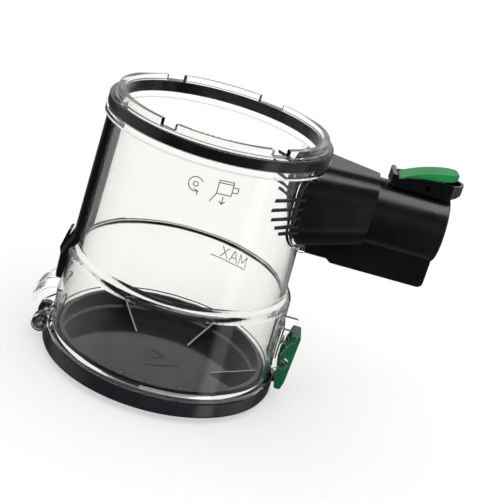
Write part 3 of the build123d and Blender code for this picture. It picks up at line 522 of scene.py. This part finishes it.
def painted_highlight_masks(tree, place):
    """Masks of the painted highlights: ones along the ridges of the flap's gussets and round its
    cup's ledge.
    """
    settings = finishes()
    split = add_node(tree, "ShaderNodeSeparateXYZ", {0: place}).outputs
    flat = add_node(tree, "ShaderNodeVectorMath", {0: place, 1: (1, 1, 0)}, operation="MULTIPLY")
    size = add_node(tree, "ShaderNodeVectorMath", {0: flat.outputs["Vector"]}, operation="LENGTH")
    radius = size.outputs["Value"]
    step = radians(GUSSET_STEP)
    turn = math_node(tree, "ARCTAN2", split["Y"], split["X"])
    turn = math_node(tree, "FLOORED_MODULO", math_node(tree, "ADD", turn, step / 2), step)
    turn = math_node(tree, "SUBTRACT", turn, step / 2)
    along = math_node(tree, "MULTIPLY", radius, math_node(tree, "COSINE", turn))
    across = math_node(tree, "MULTIPLY", radius, math_node(tree, "SINE", turn))
    across = math_node(tree, "ABSOLUTE", across)
    ends = (settings.ridge_start, settings.ridge_end)
    slope = remap(tree, along, *ends, settings.ridge_low, settings.ridge_high)
    gap = math_node(tree, "ABSOLUTE", math_node(tree, "SUBTRACT", split["Z"], slope))
    near = remap(tree, gap, settings.highlight_depth / 2, settings.highlight_depth, 1, 0)
    narrow = remap(tree, across, RIDGE_CORE * settings.ridge_half, settings.ridge_half, 1, 0)
    outer = math_node(tree, "LESS_THAN", along, settings.ridge_end)
    raised = math_node(tree, "GREATER_THAN", split["Z"], settings.ridge_low + settings.ridge_lift)
    drop = math_node(tree, "SUBTRACT", split["Z"], settings.ledge_height)
    drop = math_node(tree, "ABSOLUTE", drop)
    level = remap(tree, drop, settings.highlight_depth, 2 * settings.highlight_depth, 1, 0)
    wide = math_node(tree, "GREATER_THAN", radius, settings.ledge_radius)
    inside = math_node(tree, "LESS_THAN", radius, settings.ridge_end + settings.ledge_slack)
    return product(tree, near, narrow, outer, raised), product(tree, level, wide, inside)


def painted_highlight_tone(tree, place, tone):
    """The flap's tone with painted highlights: paler on its gussets' ridges and its cup's ledge."""
    settings = finishes()
    ridges, ledge = painted_highlight_masks(tree, place)
    tone = mix_node(tree, "RGBA", ledge, tone, rgba(settings.ledge_highlight))
    return mix_node(tree, "RGBA", ridges, tone, rgba(settings.ridge_highlight))


def clear_material():
    """Clear polycarbonate: bends light, lets lamps through, has faint scuffs and mould waves."""
    settings = finishes()
    material, tree = empty_material("Clear plastic")
    lines = place_group(
        tree,
        "Hairlines",
        Vector=object_place(tree),
        Polish=settings.clear_polish,
        Scuff=settings.clear_scuff,
    )
    inputs = {
        "Base Color": rgba(settings.clear_tint),
        "Transmission Weight": 1,
        "IOR": settings.clear_ior,
        "Roughness": lines["Roughness"],
        "Normal": bump(tree, lines["Height"], settings.wave_strength, settings.wave_depth),
    }
    shader = add_node(tree, "ShaderNodeBsdfPrincipled", inputs)
    # Light from lamps and off other surfaces goes straight through
    path = add_node(tree, "ShaderNodeLightPath").outputs
    straight = math_node(tree, "MAXIMUM", path["Is Shadow Ray"], path["Is Diffuse Ray"])
    clear = add_node(tree, "ShaderNodeBsdfTransparent", {"Color": rgba(settings.clear_shade)})
    show(tree, mix_shaders(tree, straight, shader.outputs["BSDF"], clear.outputs["BSDF"]))
    return material


def dress(nodes, material):
    """Gives CAD nodes a material."""
    for name in nodes:
        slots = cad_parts[name].data.materials
        slots.clear()
        slots.append(material)


def dress_moulded(nodes, name, tones, gloss, grain, **surface):
    """Gives CAD nodes a moulded material."""
    dress(nodes, moulded_material(name, tones, gloss, grain, **surface))


class DUSTBIN_OT_clear_shell(bpy.types.Operator):
    """Dress the shell in clear plastic"""

    bl_idname = "dust_bin.clear_shell"
    bl_label = "Clear Shell"

    def execute(self, context):
        dress(("bin_shell",), clear_material())
        return {"FINISHED"}


class DUSTBIN_OT_black_plastics(bpy.types.Operator):
    """Dress the duct, collar, housing, rail, flap and cradle in black, and the block in grey"""

    bl_idname = "dust_bin.black_plastics"
    bl_label = "Black Plastics"

    def execute(self, context):
        tones = finishes()
        dress_moulded(
            SATIN_NODES,
            "Satin black",
            (tones.satin_black, tones.satin_bloom),
            gloss=(0.19, 0.28),
            grain=0.25,
            specular=0.35,
        )
        dress_moulded(
            ("release_cradle",),
            "Gloss black",
            (tones.gloss_black, tones.gloss_bloom),
            gloss=(0.10, 0.18),
            grain=0.04,
        )
        dress_moulded(
            ("bottom_flap",),
            "Gloss black flap",
            (tones.flap_black, tones.flap_bloom),
            gloss=(0.07, 0.13),
            grain=0.04,
            # Painted highlights on the gussets' ridges and round the cup's ledge
            paint=painted_highlight_tone,
        )
        dress_moulded(
            ("contact_block",),
            "Grey block",
            (tones.block_grey, tones.block_pale),
            gloss=(0.45, 0.6),
            grain=0.3,
        )
        return {"FINISHED"}


class DUSTBIN_OT_rubber(bpy.types.Operator):
    """Dress the rim band, the seals and the gasket in rubber"""

    bl_idname = "dust_bin.rubber"
    bl_label = "Rubber"

    def execute(self, context):
        settings = finishes()
        tones = (settings.rubber_black, settings.rubber_bloom)
        dress_moulded(RUBBER_NODES, "Rubber", tones, gloss=(0.28, 0.46), grain=0.35)
        dress_moulded(("rim_band",), "Band rubber", tones, gloss=(0.15, 0.24), grain=0.08)
        return {"FINISHED"}


class DUSTBIN_OT_green_levers(bpy.types.Operator):
    """Dress the release lever and the flap latch in green plastic"""

    bl_idname = "dust_bin.green_levers"
    bl_label = "Green Levers"

    def execute(self, context):
        tones = finishes()
        dress_moulded(
            ("release_lever",),
            "Lever green",
            (tones.lever_green, tones.lever_shade),
            gloss=(0.24, 0.34),
            grain=0.08,
            specular=0.06,
        )
        dress_moulded(
            ("flap_latch",),
            "Latch green",
            (tones.latch_green, tones.latch_shade),
            gloss=(0.2, 0.32),
            grain=0.08,
            specular=0.35,
        )
        return {"FINISHED"}


class DUSTBIN_OT_metal(bpy.types.Operator):
    """Dress the pins and springs in steel and the contact sleeves in brass"""

    bl_idname = "dust_bin.metal"
    bl_label = "Metal"

    def execute(self, context):
        tones = finishes()
        dress_moulded(
            STEEL_NODES,
            "Steel",
            (tones.steel_grey, tones.steel_dull),
            gloss=(0.2, 0.4),
            grain=0.12,
            metallic=1,
        )
        dress_moulded(
            ("lever_pin",),
            "Blackened steel",
            (tones.dark_steel, tones.dark_bloom),
            gloss=(0.3, 0.5),
            grain=0.12,
            metallic=1,
        )
        dress_moulded(
            ("contact_sleeves",),
            "Brass",
            (tones.brass_yellow, tones.brass_dull),
            gloss=(0.22, 0.42),
            grain=0.1,
            metallic=1,
        )
        return {"FINISHED"}


def geometry_tree(name, floats, vectors=()):
    """Empty Geometry Nodes tree with named inputs and a material, and its two ends."""
    tree = bpy.data.node_groups.new(name, "GeometryNodeTree")
    sockets = [("Geometry", "Geometry")]
    sockets += [(label, "Float") for label in floats]
    sockets += [(label, "Vector") for label in vectors]
    sockets.append(("Material", "Material"))
    for label, kind in sockets:
        tree.interface.new_socket(label, in_out="INPUT", socket_type=f"NodeSocket{kind}")
    tree.interface.new_socket("Geometry", in_out="OUTPUT", socket_type="NodeSocketGeometry")
    return tree, tree.nodes.new("NodeGroupInput"), tree.nodes.new("NodeGroupOutput")


def round_section(tree, radius):
    """Round section of a bar or a wire."""
    inputs = {"Resolution": ROUND_SIDES, "Radius": radius}
    return add_node(tree, "GeometryNodeCurvePrimitiveCircle", inputs).outputs["Curve"]


def sweep(tree, curve, section):
    """Mesh of a section along a curve, with closed ends."""
    inputs = {"Curve": curve, "Profile Curve": section, "Fill Caps": True}
    return add_node(tree, "GeometryNodeCurveToMesh", inputs).outputs["Mesh"]


def set_down(tree, geometry, turn, place):
    """Geometry turned and moved to its place."""
    inputs = {"Geometry": geometry, "Rotation": turn, "Translation": place}
    return add_node(tree, "GeometryNodeTransform", inputs).outputs["Geometry"]


def finish_tree(tree, geometry, start, end):
    """Realize Instances and Set Material at a tree's end."""
    real = add_node(tree, "GeometryNodeRealizeInstances", {"Geometry": geometry})
    inputs = {"Geometry": real.outputs["Geometry"], "Material": start.outputs["Material"]}
    paint = add_node(tree, "GeometryNodeSetMaterial", inputs)
    feed(tree, end.inputs["Geometry"], paint.outputs["Geometry"])


def wrapped_print_tree():
    """Flat strokes given width and film, then wrapped on the wall."""
    tree, start, end = geometry_tree(
        "Wrapped print", ("Stroke", "Film", "Radius", "Angle", "Height")
    )
    given = start.outputs
    step = math_node(tree, "MULTIPLY", given["Stroke"], PRINT_STEP)
    inputs = {"Curve": given["Geometry"], "Length": step}
    steps = add_node(tree, "GeometryNodeResampleCurve", inputs, mode="LENGTH")
    inputs = {"Curve": steps.outputs["Curve"]}
    level = add_node(tree, "GeometryNodeSetCurveNormal", inputs, mode="Z_UP")
    inputs = {"Width": given["Stroke"], "Height": given["Film"]}
    section = add_node(tree, "GeometryNodeCurvePrimitiveQuadrilateral", inputs)
    ribbon = sweep(tree, level.outputs["Curve"], section.outputs["Curve"])

    position = add_node(tree, "GeometryNodeInputPosition").outputs["Position"]
    flat = add_node(tree, "ShaderNodeSeparateXYZ", {0: position}).outputs
    turn = math_node(tree, "DIVIDE", flat["X"], given["Radius"])
    turn = math_node(tree, "ADD", turn, given["Angle"])
    reach = math_node(tree, "ADD", flat["Z"], given["Radius"])
    reach = math_node(tree, "ADD", reach, given["Film"])
    inputs = {
        "X": math_node(tree, "MULTIPLY", reach, math_node(tree, "COSINE", turn)),
        "Y": math_node(tree, "MULTIPLY", reach, math_node(tree, "SINE", turn)),
        "Z": math_node(tree, "ADD", flat["Y"], given["Height"]),
    }
    wrapped = add_node(tree, "ShaderNodeCombineXYZ", inputs).outputs["Vector"]
    inputs = {"Geometry": ribbon, "Position": wrapped}
    wrap = add_node(tree, "GeometryNodeSetPosition", inputs)
    finish_tree(tree, wrap.outputs["Geometry"], start, end)
    return tree


def moulded_bar_tree():
    """Strokes swept into round bars, turned and set on a floor."""
    tree, start, end = geometry_tree("Moulded bars", ("Bead", "Turn"), ("Place",))
    given = start.outputs
    bars = sweep(tree, given["Geometry"], round_section(tree, given["Bead"]))
    turn = add_node(tree, "ShaderNodeCombineXYZ", {"Z": given["Turn"]}).outputs["Vector"]
    finish_tree(tree, set_down(tree, bars, turn, given["Place"]), start, end)
    return tree


def coil_tree():
    """Spring wound up from a floor, then turned and set in its seat."""
    tree, start, end = geometry_tree(
        "Coil", ("Turns", "Radius", "Rise", "Wire"), ("Turn", "Place")
    )
    given = start.outputs
    inputs = {
        "Resolution": COIL_STEPS,
        "Rotations": given["Turns"],
        "Start Radius": given["Radius"],
        "End Radius": given["Radius"],
        "Height": given["Rise"],
    }
    helix = add_node(tree, "GeometryNodeCurveSpiral", inputs).outputs["Curve"]
    coil = sweep(tree, helix, round_section(tree, given["Wire"]))
    finish_tree(tree, set_down(tree, coil, given["Turn"], given["Place"]), start, end)
    return tree


def grown_mesh(name, source, tree, values, body):
    """Runs a tree on a source object and keeps the result as a plain mesh that rides on a body."""
    modifier = source.modifiers.new("Build", "NODES")
    modifier.node_group = tree
    identifiers = {
        item.name: item.identifier
        for item in tree.interface.items_tree
        if item.item_type == "SOCKET" and item.in_out == "INPUT"
    }
    for label, value in values.items():
        modifier[identifiers[label]] = value
    evaluated = source.evaluated_get(bpy.context.evaluated_depsgraph_get())
    mesh = bpy.data.meshes.new_from_object(evaluated)
    if not mesh.polygons:
        raise RuntimeError(f"{name} came out empty")
    source.modifiers.remove(modifier)
    bpy.data.objects.remove(source)
    piece = bpy.data.objects.new(name, mesh)
    bpy.context.scene.collection.objects.link(piece)
    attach(piece, body)
    return piece


def wind_spring(name, node, along, wire):
    """Winds a spring in the box of its node, from the box's low end, and hides the node."""
    low, high = (Vector(corner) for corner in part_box(node))
    seat = (low + high) / 2
    seat[along] = low[along] + wire
    across = (along + 1) % 3
    axis = Vector((0, 0, 0))
    axis[along] = 1
    holder = bpy.data.objects.new("Holder", bpy.data.meshes.new("Holder"))
    bpy.context.scene.collection.objects.link(holder)
    values = {
        "Turns": springs().turns,
        "Radius": (high[across] - low[across]) / 2 - wire,
        "Rise": high[along] - low[along] - 2 * wire,
        "Wire": wire,
        "Turn": Vector((0, 0, 1)).rotation_difference(axis).to_euler(),
        "Place": seat,
        "Material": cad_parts[node].data.materials[0],
    }
    tree = bpy.data.node_groups.get("Coil") or coil_tree()
    coil = grown_mesh(name, holder, tree, values, "bin")
    seat[along] = low[along]
    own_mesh(coil)
    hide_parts(node)


class DUSTBIN_OT_coil_springs(bpy.types.Operator):
    """Wind the two springs under the latch and the lever"""

    bl_idname = "dust_bin.coil_springs"
    bl_label = "Coil Springs"

    def execute(self, context):
        settings = springs()
        wind_spring(
            "latch_coil",
            "latch_spring",
            along=0,
            wire=settings.latch_wire,
        )
        wind_spring(
            "lever_coil",
            "lever_spring",
            along=2,
            wire=settings.lever_wire,
        )
        return {"FINISHED"}


def stroke_object(strokes):
    """Curve object with one poly spline for each stroke."""
    curve = bpy.data.curves.new("Strokes", "CURVE")
    curve.dimensions = "3D"
    for points in strokes:
        spline = curve.splines.new("POLY")
        spline.points.add(len(points) - 1)
        for point, (across, up) in zip(spline.points, points):
            point.co = (across, up, 0, 1)
    strokes_object = bpy.data.objects.new("Strokes", curve)
    bpy.context.scene.collection.objects.link(strokes_object)
    return strokes_object


def ink_material():
    """Grey ink, thinner in patches."""
    tones = finishes()
    return bpy.data.materials.get("Printed ink") or moulded_material(
        "Printed ink", (tones.ink_grey, tones.ink_worn), gloss=(0.5, 0.7), grain=0.1
    )


def print_on_wall(name, strokes, radius, angle, height):
    """Prints strokes on the outside of the clear wall."""
    settings = marks()
    tree = bpy.data.node_groups.get("Wrapped print") or wrapped_print_tree()
    values = {
        "Stroke": settings.stroke,
        "Film": settings.film,
        "Radius": radius,
        "Angle": angle,
        "Height": height,
        "Material": ink_material(),
    }
    return grown_mesh(name, stroke_object(strokes), tree, values, "bin")


class DUSTBIN_OT_fill_mark(bpy.types.Operator):
    """Print the fill line and its three letters on the far wall"""

    bl_idname = "dust_bin.fill_mark"
    bl_label = "Fill Mark"

    def execute(self, context):
        settings = marks()
        width, height = settings.letter_width, settings.letter_height
        strokes = [((0, 0), (settings.fill_line, 0))]
        for number, letter in enumerate("MAX"):
            left = settings.stroke + number * (width + settings.letter_gap)
            for stroke in LETTER_STROKES[letter]:
                strokes.append(
                    [
                        (left + across * width, settings.letter_rise + up * height)
                        for across, up in stroke
                    ]
                )
        place = (settings.fill_radius, settings.fill_angle, settings.fill_height)
        print_on_wall("fill_mark", strokes, *place)
        return {"FINISHED"}


def arc(middle, radius, from_angle, to_angle, steps=20):
    """Points on an arc of a printed sign, angles in degrees."""
    turns = [from_angle + (to_angle - from_angle) * step / steps for step in range(steps + 1)]
    return [
        (middle[0] + radius * cos(radians(turn)), middle[1] + radius * sin(radians(turn)))
        for turn in turns
    ]


def emptying_sign():
    """Strokes of a plain sign, in millimetres: a bin over its swung flap, and a turning arrow."""
    body = [
        ((4.0, 5.6), (11.2, 5.6)),
        ((4.0, 4.4), (11.2, 4.4)),
        ((4.0, 5.6), (4.0, -1.2)),
        ((11.2, 5.6), (11.2, -1.2)),
        ((4.0, -1.2), (11.2, -1.2)),
        ((4.0, -1.2), (1.6, -6.0)),
        ((11.2, 3.2), (14.0, 3.2)),
        ((14.0, 3.2), (14.0, 0.6)),
        ((14.0, 0.6), (11.2, 0.6)),
    ]
    falling = [
        ((7.6, -2.4), (7.6, -6.2)),
        ((7.6, -6.2), (6.2, -4.6)),
        ((7.6, -6.2), (9.0, -4.6)),
    ]
    turning = [
        arc((-6.6, 0.6), 3.6, 30, 300),
        ((-4.8, -2.5), (-7.0, -2.0)),
        ((-4.8, -2.5), (-5.2, -4.7)),
        arc((-6.6, 0.6), 1.2, 0, 360),
    ]
    return body + falling + turning


class DUSTBIN_OT_emptying_sign(bpy.types.Operator):
    """Print a small emptying sign on the near wall, below the band"""

    bl_idname = "dust_bin.emptying_sign"
    bl_label = "Emptying Sign"

    def execute(self, context):
        settings = marks()
        strokes = [
            [(across * MILLIMETRE, up * MILLIMETRE) for across, up in stroke]
            for stroke in emptying_sign()
        ]
        place = (settings.sign_radius, settings.sign_angle, settings.sign_height)
        print_on_wall("emptying_sign", strokes, *place)
        return {"FINISHED"}


class DUSTBIN_OT_moulded_bars(bpy.types.Operator):
    """Mould a plain triangle of bars, and a bar under it, in the flap's floor"""

    bl_idname = "dust_bin.moulded_bars"
    bl_label = "Moulded Bars"

    def execute(self, context):
        settings = marks()
        corners = [
            settings.triangle_reach * Vector((cos(radians(turn)), sin(radians(turn))))
            for turn in TRIANGLE_CORNERS
        ]
        strokes = [
            (first.lerp(second, TRIANGLE_GAP), first.lerp(second, 1 - TRIANGLE_GAP))
            for first, second in zip(corners, corners[1:] + corners[:1])
        ]
        half = settings.bar_length / 2
        strokes.append(((-half, -settings.bar_drop), (half, -settings.bar_drop)))
        floor_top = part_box("bottom_flap")[0][2] + FLOOR_RISE
        values = {
            "Bead": settings.bead,
            "Place": (settings.bars_across, settings.bars_back, floor_top - settings.bead / 2),
            "Turn": settings.bars_turn,
            "Material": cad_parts["bottom_flap"].data.materials[0],
        }
        bars = stroke_object(strokes)
        grown_mesh("moulded_bars", bars, moulded_bar_tree(), values, "flap")
        return {"FINISHED"}


def stage_object(mesh, material):
    """Stage piece that isn't part of the bin, named as its mesh."""
    mesh.materials.append(material)
    piece = bpy.data.objects.new(mesh.name, mesh)
    bpy.context.scene.collection.objects.link(piece)
    return piece


def seen_ray(tree):
    """One for rays that show the background: camera, mirrored and bent ones."""
    path = add_node(tree, "ShaderNodeLightPath").outputs
    seen = math_node(tree, "MAXIMUM", path["Is Camera Ray"], path["Is Glossy Ray"])
    return math_node(tree, "MAXIMUM", seen, path["Is Transmission Ray"])


def mirrored_ray(tree):
    """One for rays that a surface has mirrored once on the way."""
    path = add_node(tree, "ShaderNodeLightPath").outputs
    return math_node(tree, "COMPARE", path["Glossy Depth"], 1, 0.5)


def floor_material(settings):
    """Pale, half clear floor that keeps shadows and looks dim in reflections."""
    material, tree = empty_material("Floor")
    reach = add_node(tree, "ShaderNodeVectorMath", {0: object_place(tree)}, operation="LENGTH")
    lifts = (settings.near_lift, settings.far_lift)
    lift = remap(tree, reach.outputs["Value"], 0, settings.far_start, *lifts)
    lift = math_node(tree, "MULTIPLY", seen_ray(tree), lift)
    matt = add_node(tree, "ShaderNodeBsdfDiffuse", {"Color": rgba(settings.floor_white)})
    glow = add_node(tree, "ShaderNodeEmission", {"Strength": lift})
    both = add_node(tree, "ShaderNodeAddShader", {0: matt.outputs[0], 1: glow.outputs[0]})
    dim = add_node(tree, "ShaderNodeEmission", {"Strength": settings.mirror_level})
    solid = mix_shaders(tree, mirrored_ray(tree), both.outputs[0], dim.outputs[0])
    # The open flap hangs below the floor, so lamps and the camera reach it there
    path = add_node(tree, "ShaderNodeLightPath").outputs
    seen = math_node(tree, "MULTIPLY", path["Is Camera Ray"], settings.see_through)
    seen = math_node(tree, "MAXIMUM", seen, path["Is Shadow Ray"])
    shade = add_node(tree, "ShaderNodeAmbientOcclusion", {"Distance": settings.shade_reach})
    shade = remap(tree, shade.outputs["AO"], settings.shade_open, 1, settings.shade_level, 1)
    clear = add_node(tree, "ShaderNodeBsdfTransparent", {"Color": shade})
    show(tree, mix_shaders(tree, seen, solid, clear.outputs[0]))
    return material


def disc_mesh(name, radius, sides=96):
    """Flat disc on the floor."""
    ring = [
        (radius * cos(2 * pi * side / sides), radius * sin(2 * pi * side / sides), 0)
        for side in range(sides)
    ]
    mesh = bpy.data.meshes.new(name)
    mesh.from_pydata(ring, [], [list(range(sides))])
    return mesh


def level_ramp(tree, height, stops):
    """Level of the room at a height, from its levels by elevation."""
    ramp = add_node(tree, "ShaderNodeValToRGB", {"Fac": height})
    elements = ramp.color_ramp.elements
    while len(elements) < len(stops):
        elements.new(0.5)
    for element, (elevation, level) in zip(elements, stops):
        element.position = (sin(radians(elevation)) + 1) / 2
        element.color = (level, level, level, 1)
    return ramp.outputs["Color"]


def room_material(settings):
    """Room that only reflections and bent light show: by height, with pale sides when mirrored."""
    material, tree = empty_material("Room")
    reach = settings.room_radius
    split = add_node(tree, "ShaderNodeSeparateXYZ", {0: object_place(tree)}).outputs

    def fade(value, shares, start, end):
        """Fades from a start to an end between two shares of the room's radius."""
        return remap(tree, value, shares[0] * reach, shares[1] * reach, start, end)

    height = remap(tree, split["Z"], -reach, reach, 0, 1)
    front = fade(split["Y"], FRONT_FADE, settings.front_share, 1)
    mirrored = math_node(tree, "MULTIPLY", level_ramp(tree, height, MIRRORED_ROOM), front)
    aside = fade(math_node(tree, "ABSOLUTE", split["X"]), SIDE_FADE, 0, settings.side_level)
    mirrored = math_node(tree, "MAXIMUM", mirrored, aside)
    turn = radians(WINDOW_TURN)
    across = math_node(tree, "MULTIPLY", split["X"], sin(turn))
    across = math_node(tree, "ADD", across, math_node(tree, "MULTIPLY", split["Y"], cos(turn)))
    width = fade(math_node(tree, "ABSOLUTE", across), WINDOW_ACROSS, 1, 0)
    rise = math_node(tree, "ADD", split["Z"], WINDOW_DROP * reach)
    rise = fade(math_node(tree, "ABSOLUTE", rise), WINDOW_UP, settings.window_level, 0)
    right = math_node(tree, "GREATER_THAN", split["X"], 0)
    mirrored = math_node(tree, "MAXIMUM", mirrored, product(tree, width, rise, right))
    bent = level_ramp(tree, height, BENT_ROOM)
    level = mix_node(tree, "FLOAT", mirrored_ray(tree), bent, mirrored)
    show(tree, add_node(tree, "ShaderNodeEmission", {"Strength": level}).outputs[0])
    return material


def ball_mesh(name, radius):
    """Round room about the object."""
    mesh = bpy.data.meshes.new(name)
    ball = bmesh.new()
    bmesh.ops.create_uvsphere(ball, u_segments=48, v_segments=32, radius=radius)
    ball.to_mesh(mesh)
    ball.free()
    return mesh


def softbox(name, place, target, width, height, watts):
    """Soft rectangular lamp aimed at a point."""
    lamp = bpy.data.lights.new(name, "AREA")
    lamp.shape = "RECTANGLE"
    lamp.size = width
    lamp.size_y = height
    lamp.energy = watts
    holder = bpy.data.objects.new(name, lamp)
    holder.location = place
    holder.rotation_euler = (Vector(target) - Vector(place)).to_track_quat("-Z", "Y").to_euler()
    bpy.context.scene.collection.objects.link(holder)
    return holder


class DUSTBIN_OT_stage(bpy.types.Operator):
    """Set the floor, the room, the lamps, the world and the camera"""

    bl_idname = "dust_bin.stage"
    bl_label = "Stage"

    def execute(self, context):
        settings = stage_settings()
        scene = context.scene
        floor = stage_object(disc_mesh("floor", settings.floor_radius), floor_material(settings))
        floor.visible_glossy = False
        room = stage_object(ball_mesh("room", settings.room_radius), room_material(settings))
        room.visible_camera = False
        room.visible_diffuse = False
        room.visible_shadow = False

        for name, place, aim, width, height, mirrored in LAMPS:
            watts = getattr(settings, f"{name}_power")
            lamp = softbox(name, place, aim, width, height, watts)
            lamp.visible_glossy = mirrored
            lamp.visible_transmission = False

        world = bpy.data.worlds.new("Studio")
        world.use_nodes = True
        tree = world.node_tree
        background = tree.nodes["Background"]
        background.inputs["Color"].default_value = (1, 1, 1, 1)
        level = remap(tree, seen_ray(tree), 0, 1, settings.ambient, 1)
        feed(tree, background.inputs["Strength"], level)
        scene.world = world

        camera_data = bpy.data.cameras.new("camera")
        camera_data.lens = settings.lens
        camera_data.sensor_width = 36
        camera_data.clip_start = 0.01
        camera_data.clip_end = 50
        camera = bpy.data.objects.new("camera", camera_data)
        right = Vector(CAMERA_RIGHT)
        back = right.cross(Vector(CAMERA_UP)).normalized()
        turn = Matrix((right, back.cross(right), back)).transposed().to_4x4()
        camera.matrix_world = Matrix.Translation(CAMERA_PLACE) @ turn
        scene.collection.objects.link(camera)
        scene.camera = camera
        scene.view_settings.view_transform = "Standard"
        return {"FINISHED"}


OPERATORS = (
    DUSTBIN_OT_clear_shell,
    DUSTBIN_OT_black_plastics,
    DUSTBIN_OT_rubber,
    DUSTBIN_OT_green_levers,
    DUSTBIN_OT_metal,
    DUSTBIN_OT_coil_springs,
    DUSTBIN_OT_fill_mark,
    DUSTBIN_OT_emptying_sign,
    DUSTBIN_OT_moulded_bars,
    DUSTBIN_OT_stage,
)


class DUSTBIN_PT_looks(bpy.types.Panel):
    """Sidebar panel with the bin's settings and operators"""

    bl_idname = "DUSTBIN_PT_looks"
    bl_label = "Dust Bin"
    bl_space_type = "VIEW_3D"
    bl_region_type = "UI"
    bl_category = "Dust Bin"

    def draw(self, context):
        for operator in OPERATORS:
            self.layout.operator(operator.bl_idname)
        for settings in (finishes(), springs(), marks(), stage_settings()):
            box = self.layout.box()
            for label in settings.__annotations__:
                box.prop(settings, label)


CLASSES = (
    DustBinFinishes,
    DustBinSprings,
    DustBinMarks,
    DustBinStage,
    *OPERATORS,
    DUSTBIN_PT_looks,
)


def register():
    """Registers the classes and their settings."""
    for item in CLASSES:
        bpy.utils.register_class(item)
    bpy.types.Scene.dust_bin_finishes = PointerProperty(type=DustBinFinishes)
    bpy.types.Scene.dust_bin_springs = PointerProperty(type=DustBinSprings)
    bpy.types.Scene.dust_bin_marks = PointerProperty(type=DustBinMarks)
    bpy.types.Scene.dust_bin_stage = PointerProperty(type=DustBinStage)


def unregister():
    """Removes the settings and the classes."""
    del bpy.types.Scene.dust_bin_stage
    del bpy.types.Scene.dust_bin_marks
    del bpy.types.Scene.dust_bin_springs
    del bpy.types.Scene.dust_bin_finishes
    for item in reversed(CLASSES):
        bpy.utils.unregister_class(item)


def main():
    """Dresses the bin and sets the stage."""
    register()
    bpy.ops.dust_bin.clear_shell()
    bpy.ops.dust_bin.black_plastics()
    bpy.ops.dust_bin.rubber()
    bpy.ops.dust_bin.green_levers()
    bpy.ops.dust_bin.metal()
    bpy.ops.dust_bin.coil_springs()
    bpy.ops.dust_bin.fill_mark()
    bpy.ops.dust_bin.emptying_sign()
    bpy.ops.dust_bin.moulded_bars()
    bpy.ops.dust_bin.stage()
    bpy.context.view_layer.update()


if __name__ == "__main__":
    main()
